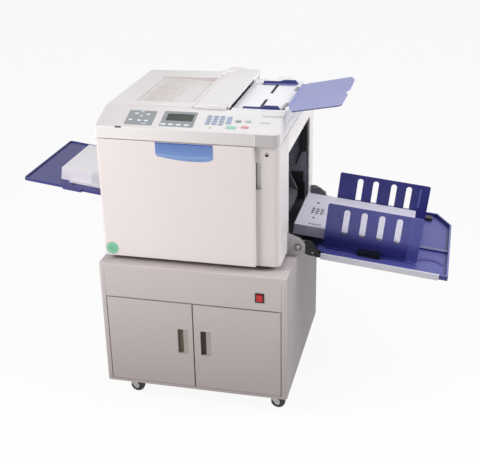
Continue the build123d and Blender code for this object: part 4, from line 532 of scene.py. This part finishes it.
# Painted light on the open floor, a painted highlight on the outer rim, and painted shade on the bed's side
# by the stack.
lit_open_floor = tray.between(floor_w - 0.0007, floor_w + 0.0007, tray_w, 0.0001)
rim_highlight = tray.between(rim_w - 0.0008, rim_w + 0.0008, tray_w, 0.0001)
arm = (tray.y < front_arm_y) * (tray_u < rail_start)
arm = arm.most((tray.y > rear_arm_y) * (tray_u < rear_arm_end))
bed_side_shade = tray.between(-0.0434, -0.0426, "y", 0.0001)
guide_part = tray.between(0.2415, 0.2520, "y", 0.0002)
guide_part = guide_part * (tray_u < 0.036) * (tray_w > -0.0085)
rail = (tray.y < rail_y) * (tray_u > rail_start) * (tray_u < rail_end)
tray.colour(tray.layers(
    tray.mix(drift * 0.75 + fine * 0.25, "3C3D82", "333374"),
    (lit_open_floor, tray.mix(drift, "50539A", "45488C")), (rim_highlight * (tray_u > 0.40), "6E71A8"),
    (bed_side_shade * tray.fade(tray_u, 0.14, 0.02), "111120"), (arm, "0B090A"), (guide_part, "55565C"),
    (rail, tray.mix(fine, "D4D3D9", "C4C3CA"))))
tray.roughness(drift * 0.1 + 0.32)
tray.bump(fine, 0.00005, 0.5)
print("output tray finish:", tray.material.name)

# %% [markdown]
# The front side fence is a clear-tinted blue moulding: the stack behind it shows faintly through it. A
# constant alpha does that simply, and also survives the export. The cover's lock is plated, and dark in
# its middle, where the key goes, which is painted shade in the keyhole.

# %% Fences, glass and small parts
fence_blue = Finish("fence_moulding", roughness=0.30)
fence_w = fence_blue.along(tray_square, tray_pivot)
fence_u = fence_blue.along(slope_u, tray_pivot)
drift = fence_blue.grain(14.0, 2.0)
clamp = fence_blue.between(0.192, 0.272, fence_u, 0.001) * (fence_blue.y < -0.0585)
fence_blue.colour(fence_blue.layers(
    fence_blue.mix(drift, "5356A8", "484A9C"), (fence_blue.fade(fence_w, 0.045, 0.010, 0.85), "2E2F78"),
    (fence_blue.between(0.355, 0.40, fence_u, 0.002) * 0.5, "5F66B4"), (clamp, "15151C")))
fence_blue.roughness(drift * 0.1 + 0.24)
fence_blue.bump(fence_blue.grain(1400, 1.0), 0.00004, 0.5)
fence_blue.shader.inputs["Alpha"].default_value = 0.84
rear_blue = moulded("rear_fence_moulding", "3A3B8E", "33347E", 0.32, 0.7)
rear_u = rear_blue.along(slope_u, tray_pivot)
rear_w = rear_blue.along(tray_square, tray_pivot)
groove = rear_blue.between(0.3635, 0.3685, rear_u, 0.0004)
groove = groove * rear_blue.between(0.055, 0.125, rear_w)
rear_drift = rear_blue.mix(rear_blue.grain(6.0, 2.0), "3A3B8E", "33347E")
rear_blue.colour(rear_blue.mix(groove, rear_drift, "7C85C6"))
glass = Finish("platen_glass", roughness=0.03)
glass.colour("DDEBE8")
glass.shader.inputs["Transmission Weight"].default_value = 0.9
glass.roughness(glass.grain(40) * 0.03 + 0.02)
panel_grey = moulded("panel_film", "969B9E", "8C9194", 0.35, 0.6)
key_grey = moulded("number_key_rubber", "A9B7CC", "9DABC1", 0.5, 0.5)
start_green = moulded("start_key_cap", "A5DCC8", "93D0BA", 0.3, 0.5)
stop_red = moulded("stop_key_cap", "E0A0A4", "D6878C", 0.3, 0.5)
rocker_red = moulded("rocker_cap", "D3211C", "B71713", 0.22, 0.5)
switch_black = moulded("switch_bezel", "2A1413", "1F0E0E", 0.35, 0.5)
chrome = Finish("plated_lock", roughness=0.2, metallic=1.0)
lock_low, lock_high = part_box("cover_lock")
lock_face = ((lock_low[0] + lock_high[0]) / 2, lock_low[1], (lock_low[2] + lock_high[2]) / 2)
# Painted shade in the keyhole: the lock's middle is dark.
keyway_shade = chrome.fade(chrome.away_from(lock_face), 0.0052, 0.0042)
chrome.colour(chrome.mix(keyway_shade, chrome.mix(chrome.grain(300), "B4AEB0", "9F999C"), "3A1E22"))
print("finishes so far:", len(bpy.data.materials), "lock face:", [round(value, 4) for value in lock_face])

# %% [markdown]
# Every node of the packed model now gets its finish. The names say what each one is on the machine.

# %% Dress every node
corners = ("front_left", "front_right", "rear_left", "rear_right")
dress(
    melamine, "cabinet_left_panel", "cabinet_right_panel", "cabinet_top", "cabinet_base",
    "cabinet_back", "cabinet_front_band", "cabinet_shelf", "door_left", "door_right")
dress(zinc, "caster_plates", "tray_brackets", *[f"caster_fork_{corner}" for corner in corners])
dress(tyre_rubber, *[f"caster_wheel_{corner}" for corner in corners])
dress(switch_black, "switch_frame")
dress(rocker_red, "switch_rocker")
dress(foot_rubber, "machine_feet")
dress(dark_frame, "base_pan", "front_frame_plate", "ejection_unit")
dress(inner_frame, "rear_frame_plate")
dress(bright_bar, "print_drum", "hinge_pins")
dress(roller_rubber, "pressure_roller", "pickup_roller", "adf_feed_roller")
dress(roll_paper, "master_roll")
dress(black, "main_motor", "scan_carriage")
dress(shell, "left_cover", "right_cover", "rear_cover")
dress(column_shell, "front_column")
dress(chrome, "cover_lock")
dress(cover_shell, "front_cover")
dress(scanner_shell, "scanner_housing")
dress(console, "console_housing")
dress(glass, "platen_glass")
dress(panel_grey, "console_panels")
dress(key_grey, "number_keys")
dress(start_green, "start_key")
dress(stop_red, "stop_key")
dress(lid, "lid_cover", "adf_cover")
dress(guide_blue, "adf_guide_front", "adf_guide_rear")
dress(flap_blue, "adf_flap")
dress(feed_blue, "feed_tray")
dress(guide_white, "feed_guide_front", "feed_guide_rear")
dress(white_paper, "feed_paper")
dress(tray, "output_tray")
dress(fence_blue, "side_fence_front")
dress(rear_blue, "side_fence_rear")
dress(printed_sheets, "printed_paper")
print("dressed nodes:", len(nodes))

# %% [markdown]
# Many small parts of this machine are thin pieces on a flat or sloped face: keys, a display, plates,
# seams. A board is such a face, with one direction across it, one along it and one out of it, all in
# millimetres. A plate is an outline on a board, pushed out and softened along its upper edge.

# %% Boards and plates
class Board:
    """A flat place with directions across, along and out of it; by default upright, facing the front."""

    def __init__(self, origin, across=(1, 0, 0), along=(0, 0, 1)):
        self.origin = Vector(origin) / 1000
        self.across = Vector(across).normalized()
        self.along = Vector(along).normalized()
        self.out = self.across.cross(self.along)

    def at(self, across, along, out=0.0):
        return self.origin + (self.across * across + self.along * along + self.out * out) / 1000


pieces = []


def settle(name, mesh, finish, body):
    """Turns a worked mesh into a piece that rides on a body and takes a finish."""
    bmesh.ops.recalc_face_normals(mesh, faces=mesh.faces)
    data = bpy.data.meshes.new(name)
    mesh.to_mesh(data)
    mesh.free()
    piece = bpy.data.objects.new(name, data)
    bpy.context.scene.collection.objects.link(piece)
    dress(finish, piece)
    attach(piece, body)
    pieces.append(piece)
    return piece


def rounded(width, height, radius, centre=(0, 0), turns=4):
    """Lists the points of a rectangle with round corners."""
    points = []
    for quarter, (side_u, side_v) in enumerate(((1, 1), (-1, 1), (-1, -1), (1, -1))):
        for step in range(turns + 1):
            angle = math.radians(90 * quarter + 90 * step / turns)
            points.append((
                centre[0] + side_u * (width / 2 - radius) + radius * math.cos(angle),
                centre[1] + side_v * (height / 2 - radius) + radius * math.sin(angle)))
    return points


def oval(width, height, centre=(0, 0), steps=32):
    """Lists the points of an ellipse."""
    return [(
        centre[0] + width / 2 * math.cos(math.tau * step / steps),
        centre[1] + height / 2 * math.sin(math.tau * step / steps)) for step in range(steps)]


def plate(name, board, outlines, low, high, finish, body, soften=0.25):
    """Builds one piece from flat outlines, pushed out from one height to another."""
    mesh = bmesh.new()
    for outline in outlines:
        base = mesh.faces.new([mesh.verts.new(board.at(u, v, low)) for u, v in outline])
        raised = bmesh.ops.extrude_face_region(mesh, geom=[base])["geom"]
        bmesh.ops.translate(
            mesh, vec=board.out * (high - low) / 1000,
            verts=[part for part in raised if isinstance(part, bmesh.types.BMVert)])
        if soften:
            rim = [part for part in raised if isinstance(part, bmesh.types.BMEdge)]
            bmesh.ops.bevel(
                mesh, geom=rim, offset=soften / 1000, segments=2, affect="EDGES", clamp_overlap=True)
    return settle(name, mesh, finish, body)


def lathe(name, board, centres, profile, finish, body, steps=28):
    """Turns a profile of radius and height pairs about the board's outward direction."""
    mesh = bmesh.new()
    for centre in centres:
        rings = []
        for radius, height in profile:
            turns = 1 if radius == 0 else steps
            rings.append([
                mesh.verts.new(board.at(
                    centre[0] + radius * math.cos(math.tau * step / steps),
                    centre[1] + radius * math.sin(math.tau * step / steps), height))
                for step in range(turns)])
        for lower, upper in zip(rings, rings[1:]):
            for step in range(steps):
                after = (step + 1) % steps
                corners = [lower[step % len(lower)], lower[after % len(lower)]]
                corners += [upper[after % len(upper)], upper[step % len(upper)]]
                mesh.faces.new(list(dict.fromkeys(corners)))
    piece = settle(name, mesh, finish, body)
    for face in piece.data.polygons:
        face.use_smooth = True
    return piece


def screws(name, board, centres, radius, height=0.0, finish=zinc, body="cabinet"):
    """Sets domed steel screws, each with a cross recess shown by two dark bars of painted shade."""
    dome_shape = ((1, 0), (0.96, 0.18), (0.7, 0.42), (0, 0.5))
    dome = [(share * radius, height + rise * radius) for share, rise in dome_shape]
    lathe(name, board, centres, dome, finish, body, 20)
    bars = []
    for u, v in centres:
        bars.append(rounded(radius * 1.1, radius * 0.26, radius * 0.05, (u, v), 1))
        bars.append(rounded(radius * 0.26, radius * 1.1, radius * 0.05, (u, v), 1))
    crosses = height + radius * 0.36
    plate(
        f"{name}_cross", board, bars, crosses, height + radius * 0.52, black, body, 0)


console_face = Board((0, -280, 991), (1, 0, 0), (0, 0.9425, 0.3342))
front_face = Board((0, -280, 0))
print("console leans back by", round(math.degrees(math.asin(console_face.along.z)), 1), "degrees")

# %% [markdown]
# The display is a dark green liquid crystal behind a film. Its picture fades a little from one corner
# to the other, as a passive display does when it is seen from the side. A thin dark frame hides its edge.

# %% The display
crystal = Finish("display_crystal", roughness=0.16)
fade = crystal.x * 5.5 + (crystal.y * -6.0) - 0.90
film = crystal.grain(420, 2.0)
crystal.colour(crystal.mix(fade + film * 0.25, "2C3233", "4B5347"))
crystal.roughness(film * 0.08 + 0.12)
bezel = moulded("display_bezel", "474C4E", "3C4143", 0.3, 0.5)
plate(
    "display_screen", console_face, [rounded(82.4, 33.4, 1.5, (-38.5, 63))], -0.45, 0.42,
    crystal, "cabinet")
frame_bars = [
    rounded(86, 1.8, 0.8, (-38.5, 80.4)), rounded(86, 1.8, 0.8, (-38.5, 45.6)),
    rounded(1.8, 36.6, 0.8, (-80.6, 63)), rounded(1.8, 36.6, 0.8, (3.6, 63))]
plate("display_frame", console_face, frame_bars, 0.3, 0.85, bezel, "cabinet")
print("pieces so far:", len(pieces))

# %% [markdown]
# The soft keys under the display, and those of the panel at its left, are raised bumps in a printed film.
# They are white or pale, under a millimetre high, and keep the film's satin gloss.

# %% Keys in the film
film_white = moulded("film_key_white", "F4F5F6", "E6EAEC", 0.32, 0.5)
film_pale = moulded("film_key_pale", "CBD7E0", "BDCBD6", 0.32, 0.5)
display_keys = [rounded(17, 7, 3, (x, 25)) for x in (-84.5, -59.5, -34.5, -9.5)]
left_keys = [(-184, 73), (-146, 71), (-196, 40), (-167, 38), (-144, 38)]
setting_keys = [rounded(13, 6, 2.6, place) for place in left_keys]
rockers = [rounded(11, 8, 3, (-167, 84)), rounded(11, 8, 3, (-166, 62)), rounded(17, 5, 2, (-148, 23))]
for name, outlines, high, finish in (
        ("display_keys", display_keys, 1.2, film_white), ("setting_keys", setting_keys, 1.2, film_white),
        ("setting_rockers", rockers, 1.1, film_pale)):
    plate(name, console_face, outlines, 0.4, high, finish, "cabinet")
print("pieces so far:", len(pieces))

# %% [markdown]
# Right of the number keys come three function keys, two larger mode keys and a small amber lamp. They are
# separate caps that stand a little proud, so they get a softened edge each.

# %% Caps on the console
top_row, row_pitch = 76.8, 12.6
mode_green = moulded("mode_key_cap", "97A699", "8A998D", 0.35, 0.5)
mode_grey = moulded("clear_key_cap", "BEC5C2", "B0B8B5", 0.35, 0.5)
amber = Finish("amber_lamp", roughness=0.2)
amber.colour(amber.mix(amber.grain(900), "C98F62", "B77E55"))
function_keys = [rounded(12, 6.8, 1.5, (121.5, top_row - row_pitch * row)) for row in range(3)]
for name, outlines, high, finish, soften in (
        ("function_keys", function_keys, 1.5, key_grey, 0.5),
        ("mode_key", [oval(20, 10.5, (150, 57.5))], 1.9, mode_green, 0.6),
        ("clear_key", [oval(19, 10, (182, 58.5))], 1.9, mode_grey, 0.6)):
    plate(name, console_face, outlines, -0.3, high, finish, "cabinet", soften)
lathe(
    "ready_lamp", console_face, [(69, 18)], [(2.9, -0.2), (2.8, 0.6), (1.8, 1.2), (0, 1.5)],
    amber, "cabinet")
print("pieces so far:", len(pieces))

# %% [markdown]
# The number keys carry their digits. A text object gives clean digit shapes, and is turned into a mesh
# that is laid on the keys, a few hundredths of a millimetre thick like screen print.

# %% Digits on the number keys
first_column, column_pitch, digit_height = 55, 21, 0.0072
ink = Finish("key_print", roughness=0.5)
ink.colour(ink.mix(ink.grain(800), "3A4356", "303849"))
digits = bmesh.new()
for place, sign in enumerate("123456789*0#"):
    curve = bpy.data.curves.new(f"digit_{place}", "FONT")
    curve.body = sign
    curve.size = digit_height
    curve.align_x = "CENTER"
    curve.align_y = "CENTER"
    curve.extrude = 0.00006
    writer = bpy.data.objects.new(f"digit_{place}", curve)
    shape = bpy.data.meshes.new_from_object(writer)
    bpy.data.objects.remove(writer)
    row, column = divmod(place, 3)
    centre = console_face.at(first_column + column_pitch * column, top_row - row_pitch * row, 1.62)
    shape.transform(axes_at(centre, console_face.across, console_face.along, console_face.out))
    digits.from_mesh(shape)
    bpy.data.meshes.remove(shape)
number_print = settle("number_print", digits, ink, "cabinet")
print("digit faces:", len(number_print.data.polygons))

# %% [markdown]
# The console has a flat grey field of painted seam shadow across its right end, a small black catch on its
# front edge, a painted highlight along the edge at its step, and a bare field where the type mark would be.
# Very flat plates keep their outline from every side.

# %% Seams and marks of the console
# Painted shadow on the grey seam field, and a painted highlight on the strip at the step.
painted_seam_shadow = moulded("seam_shadow", "D3D0D2", "CBC8CA", 0.5, 0.5)
mark_grey = moulded("blank_mark", "CDCBCD", "C5C3C6", 0.5, 0.5)
step_highlight = moulded("edge_moulding", "F6F1EF", "F1ECEA", 0.35, 0.5)
plate(
    "console_seam", console_face, [rounded(70, 11.0, 2.5, (253, 92), 2)], -0.05, 0.12,
    painted_seam_shadow, "cabinet", 0)
plate(
    "blank_field", console_face, [rounded(32, 8.5, 2.5, (235.5, 57))], -0.05, 0.15,
    mark_grey, "cabinet", 0)
edge_board = Board((0, -278.9, 990.2), (1, 0, 0), (0, 0.577, 0.8167))
plate(
    "front_catch", edge_board, [rounded(21, 5.4, 1, (-226.5, 0))], -1.5, 0.35,
    black, "cabinet")
plate(
    "console_step_highlight", front_face, [rounded(2.2, 34, 1, (212.6, 969))], -1, 0.5,
    step_highlight, "cabinet")
print("pieces so far:", len(pieces))

# %% [markdown]
# Under the console the front cover carries a blue plate with a curved lower edge. It stays bare. Its
# lower part is painted brighter, with a painted highlight along the curve, and its upper edge carries
# painted shade from the console above.

# %% The bare blue plate
plate_blue = Finish("plate_blue", roughness=0.3)
speck = plate_blue.grain(900, 1.0)
# Painted light: brighter low down and a highlight along the curve; painted shade under the console's edge.
glint = plate_blue.between(0.8985, 0.9035, plate_blue.z + abs(plate_blue.x + 0.01) * -0.06, 0.003)
plate_blue.colour(plate_blue.layers(
    plate_blue.mix(plate_blue.fade("z", 0.888, 0.947), "7F9DD2", "5F7DBB"),
    (glint * 0.55, "A5BBE2"), (plate_blue.between(0.9425, 0.96, "z", 0.0008), "4762A6"),
    (speck * 0.06, "5670AF")))
plate_blue.roughness(speck * 0.04 + 0.28)
plate_left, plate_right, plate_top = -107, 80, 947
lowest_x, lowest_z, edge_steps = 22, 889.5, 16
left_climb, right_climb = 13, 9
lower_edge = []
for step in range(1, edge_steps):
    x = plate_left + (plate_right - plate_left) * step / edge_steps
    if x < lowest_x:
        climb = left_climb * ((x - lowest_x) / (plate_left - lowest_x)) ** 2
    else:
        climb = right_climb * ((x - lowest_x) / (plate_right - lowest_x)) ** 2.6
    lower_edge.append((x, lowest_z + climb))
plate_outline = [
    (plate_right, plate_top), (plate_left, plate_top), (plate_left, 912), (-106, 906), (-103, 902),
    *lower_edge, (78, 899), (plate_right, 903)]
plate("front_plate", front_face, [plate_outline], -0.2, 0.9, plate_blue, "front_cover", 0.4)
print("plate width in mm:", plate_right - plate_left)

# %% [markdown]
# A round green sticker sits low on the cover, also bare. It has a paler ring inside its rim, so the ring
# is a mask on the distance from its middle.

# %% The bare green sticker
sticker_x, sticker_z, sticker_width = -276, 568, 43
sticker = Finish("sticker_green", roughness=0.35)
from_middle = sticker.away_from((sticker_x / 1000, -0.2806, sticker_z / 1000))
ring = sticker.between(0.0150, 0.0178, from_middle, 0.0006)
leaf = sticker.mix(sticker.grain(160, 3.0), "82C7A3", "6FBA93")
sticker.colour(sticker.mix(ring * 0.6, leaf, "B4DFC8"))
sticker.roughness(sticker.grain(50) * 0.1 + 0.3)
plate(
    "round_sticker", front_face, [oval(sticker_width, sticker_width, (sticker_x, sticker_z), 48)], -0.1, 0.25,
    sticker, "front_cover", 0.1)
print("sticker width in mm:", sticker_width)

# %% [markdown]
# On the lid, the original tray is a white panel with a fine grey line on three sides, and two small grey
# hinge covers stand beside its folding flap. Each guide has a paler foot, the flap's ears have caps, and a
# plug closes the front end of the guides' slot. A white seal runs along the feeder cover's left edge.

# %% The original tray's details
tray_top = Board((112, 0, 1029), (176, 0, 3), (0, 1, 0))
panel_line = moulded("panel_line", "C3BFC6", "B8B4BC", 0.5, 0.5)
hinge_grey = moulded("hinge_cover_moulding", "9D9EA0", "919294", 0.4, 0.6)
foot_blue = moulded("guide_foot_moulding", "7C7FB8", "7073AC", 0.4, 0.7)
tray_lines = [
    rounded(160, 1.3, 0.4, (88, 157), 1), rounded(1.3, 300, 0.4, (8, 7), 1),
    rounded(160, 1.3, 0.4, (88, -143), 1)]
plate(
    "original_tray_line", tray_top, tray_lines, -0.05, 0.15, panel_line, "lid_cover", 0)
for name, length, middle, high in (
        ("flap_hinge_cover", 62, -116, 5.5), ("flap_hinge_cover_rear", 40, 96, 4.5)):
    plate(
        name, tray_top, [rounded(11, length, 3, (165, middle))], -0.5, high,
        hinge_grey, "lid_cover", 1.2)
for end, middle in (("rear", 149.5), ("front", -145.5)):
    plate(
        f"guide_foot_{end}", tray_top, [rounded(118, 15, 2, (93, middle))], 2.35, 3.75,
        foot_blue, f"adf_guide_{end}", 0.4)
for end, place, facing in (("front", -157.4, 1), ("rear", 142.4, -1)):
    ear_board = Board((290, place, 1038), (facing, 0, 0))
    lathe(
        f"ear_cap_{end}", ear_board, [(0, 0)], [(3.6, 0), (3.4, 0.7), (2.4, 1.1), (0, 1.2)], lid,
        "lid_cover", 20)
slot_end = Board((200, -166, 1031.6), along=(0, 1, 0))
plate(
    "slot_end_plug", slot_end, [rounded(11.6, 8.4, 0.6)], -2, 0.2, lid, "lid_cover", 0)
seal_top = Board((-14.1, 44.5, 1033.2), along=(0, 1, 0))
plate(
    "feeder_seal", seal_top, [rounded(3.8, 417, 0.8, turns=2)], -0.6, 0.95,
    lid, "lid_cover", 0.4)
print("pieces so far:", len(pieces))

# %% [markdown]
# The output tray turns about its pivot, so its details are placed along it: u runs outward down the
# slope, y runs to the rear and w is square to the floor. Boards share that frame, one along the floor and
# others upright along the tray. A black web, black like the arms and also standing in for the shade under
# the stack, and a dark floor of painted shade close the gap between its arms. The bracket that holds the
# pivot stands still, with a cheek and a boss; the boss is a darker grey of painted shade, and the pivot
# screw is nearly white, a painted highlight.

# %% Boards on the output tray
pivot_x, _, pivot_z = (value * 1000 for value in tray_pivot)
tray_floor = Board((pivot_x, 0, pivot_z), slope_u, (0, 1, 0))


def tray_wall(y):
    """Gives the board that stands upright along the tray at one place y."""
    return Board((pivot_x, y, pivot_z), slope_u, tray_square)


def arc(middle, half_width, half_height, degrees):
    """Lists points on part of an ellipse."""
    turns = [math.radians(angle) for angle in degrees]
    return [(middle[0] + half_width * math.cos(t), middle[1] + half_height * math.sin(t)) for t in turns]


pocket_blue = moulded("pocket_moulding", "34357F", "2C2D74", 0.4, 0.7)
rail_grey = moulded("end_rail_moulding", "8D90A6", "8386A0", 0.35, 0.7)
pocket = (434, -49)
pocket_edge = arc(pocket, 48, 40, range(10, 171, 10)) + arc(pocket, 37, 26, range(170, 9, -10))
for name, outline, low, high, finish, slot, soften in (
        ("tray_pocket_edge", pocket_edge, -19.3, -17.6, pocket_blue, "tray_blue", 0.4),
        ("tray_catch", rounded(30, 32, 4, (412, 330)), -19.2, -9, black, "black_plastic", 1.5),
        ("end_rail_cap", rounded(132, 13, 3, (428, 65)), -14.2, -12.6, rail_grey, "tray_blue", 0.6),
        ("end_rail_groove", rounded(124, 2.4, 1, (428, 65)), -12.7, -12.3, pocket_blue, "tray_blue", 0)):
    plate(name, tray_floor, [outline], low, high, finish, "output_tray", soften)
# The web is black like the arms, and also painted shade under the stack.
web_black_and_shade = moulded("arm_web_moulding", "0A0A0C", "101013", 0.6, 0.5)
web_outline = [(12, 9), (22, 27), (44, 25), (60, 3), (74, -7), (74, -22), (50, -24), (20, -14)]
plate(
    "arm_web", tray_wall(-128.2), [web_outline], 0, 5.2, web_black_and_shade, "output_tray", 0.5)
# Painted shade: a dark floor in the hinge well.
well_shade = Finish("hinge_well_moulding", roughness=0.5)
well_shade.colour(well_shade.mix(well_shade.fade("x", 0.33, 0.39), "0E0E14", "20214E"))
plate(
    "hinge_well_floor", tray_floor, [rounded(60, 82, 3, (31, -85.5))], -22.5, -19.5, well_shade,
    "output_tray", 0.4)
screws("arm_screws", tray_wall(-134), [(50, -15), (80, -15)], 3.4, body="output_tray")
pin_ends = tray_wall(-140.8)
# Painted shade on the boss and washer, and a painted highlight on the pivot screw.
shaded_boss_zinc = moulded("shaded_boss_zinc", "9C9392", "8D8484", 0.4, 0.5)
screw_highlight = moulded("painted_screw_highlight", "F4F0EF", "E9E5E4", 0.3, 0.5)
lathe(
    "pivot_washer", pin_ends, [(0, 0)], [(8.8, 0), (8.6, 0.9), (5.6, 1.1), (5.4, 0.4), (0, 0.4)],
    shaded_boss_zinc, "cabinet")
screws("pivot_screw", pin_ends, [(0, 0)], 4.6, 0.4, screw_highlight)
bracket_face = Board((288, -137.8, 0))
cheek_outline = [(0, 609), (41.5, 594.5), (55.5, 582), (56, 539), (44, 530), (0, 530)]
plate(
    "bracket_cheek", bracket_face, [cheek_outline], -0.4, 1.0, zinc, "cabinet", 0.4)
boss_profile = [(15, 0.9), (14.6, 2.2), (12.6, 2.4), (12.2, 1.4), (0, 1.4)]
lathe("bracket_boss", bracket_face, [(36, 560)], boss_profile, shaded_boss_zinc, "cabinet")
screws("bracket_screws", bracket_face, [(12, 588), (12, 538)], 3.6, 1.0)
print("pieces so far:", len(pieces))

# %% [markdown]
# The top sheet of the prints holds a few dark bars and dots, in the place of the real print, which is
# left out. They are thin plates, so they keep their place when the tray folds.

# %% Bars on the top sheet
toner = Finish("toner_print", roughness=0.6)
toner.colour(toner.mix(toner.grain(700, 2.0), "47434F", "5C5865"))
sheet_top = printed_height * 1000
bars = [rounded(3.5, 60, 1.2, (8 + 16 * column, 86)) for column in range(3)]
bars += [rounded(9, 7, 1.5, (13 + 16 * column, 68 + 17 * row)) for column in range(3) for row in range(3)]
bars += [rounded(10, 14, 3, (17, 160)), rounded(9, 12, 3, (21, 25))]
bars += [rounded(8, 7, 1.5, (18 + 11 * dash, -29)) for dash in range(4)]
plate(
    "sheet_bars", tray_floor, bars, sheet_top - 0.05, sheet_top + 0.12, toner,
    "output_tray", 0)
print("bars:", len(bars))

# %% [markdown]
# Inside the outlet there is grey sheet metal with a sensor box, an upright dark duct and the thin lever
# that the sheets tip. They are only glimpsed, but without them the opening looks empty. All sit against
# the rear frame plate.

# %% Inside the outlet
rear_plate = Board((0, 290, 0))
duct_black = moulded("duct_moulding", "141417", "1A1A1E", 0.5, 0.8)
for name, outline, depth, soften in (
        ("sensor_box", rounded(46, 36, 2.5, (247, 651.5)), 18, 1.2),
        ("upright_duct", rounded(26, 130, 3, (269, 816)), 14, 1.5),
        ("lower_guard", rounded(60, 70, 6, (245, 596)), 9, 1.5)):
    plate(name, rear_plate, [outline], -0.2, depth, duct_black, "cabinet", soften)
screws("inside_screws", rear_plate, [(226, 700), (226, 620), (262, 690)], 3.5)

lever_outline = [
    (264, 754), (256, 752), (240, 708), (238, 696), (243, 696), (246, 706), (260, 742), (266, 746)]
plate(
    "sensor_lever", rear_plate, [lever_outline], 5, 7, duct_black, "cabinet", 0.4)
lathe(
    "sensor_lever_pivot", rear_plate, [(260, 748)], [(4, -0.2), (4, 8), (2.4, 8.6), (0, 8.8)],
    duct_black, "cabinet", 20)
print("pieces so far:", len(pieces))

# %% [markdown]
# Sheet metal and boards are held by screws, and a rear face without them looks like a block. They go
# where the real machine needs them: round the rear cover and on the cabinet's back.

# %% Screws at the rear
behind = Board((0, 380, 0), (-1, 0, 0))
screws("rear_cover_screws", behind, [(x, z) for x in (-270, 0, 290) for z in (556, 932)], 3.6)
cabinet_rear = Board((0, 310, 0), (-1, 0, 0))
back_places = [(x, z) for x in (-290, 0, 290) for z in (92, 290, 490)]
screws("back_panel_screws", cabinet_rear, back_places, 3.2)
print("pieces so far:", len(pieces))

# %% [markdown]
# Each door pull has a deep slot at its left, where the fingers go, and a tongue beside it. Thin plates of
# painted shade make the left door's slot brown and the right door's darker, and the tongues a little darker
# than a door.

# %% Door pulls
# Painted shade: dark plates in the pull slots, and darker plates on the recessed tongues.
brown_pull_shade = moulded("pull_slot", "6C6050", "5B5042", 0.6, 0.8)
dark_pull_shade = moulded("pull_slot_dark", "3B2F25", "2F261E", 0.6, 0.8)
tongue_shade = moulded("pull_tongue", "ADA29B", "A29790", 0.45, 0.8)
door_face = Board((0, -310, 0))
pull_rise, pull_height = 127, 93
pull_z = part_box("door_left")[0][2] * 1000 + pull_rise + pull_height / 2
for door, slot_x, tone in (("door_left", -45.25, brown_pull_shade), ("door_right", 34.25, dark_pull_shade)):
    plate(
        f"{door}_slot", door_face, [rounded(19.6, 92.4, 0.8, (slot_x, pull_z), 1)], -9.95, -9.5,
        tone, door, 0)
    plate(
        f"{door}_tongue", door_face, [rounded(16.4, 92.4, 0.8, (slot_x + 18.6, pull_z), 1)], -2.05, -1.7,
        tongue_shade, door, 0.1)
print("pull height over the floor in mm:", round(pull_z, 1))

# %% [markdown]
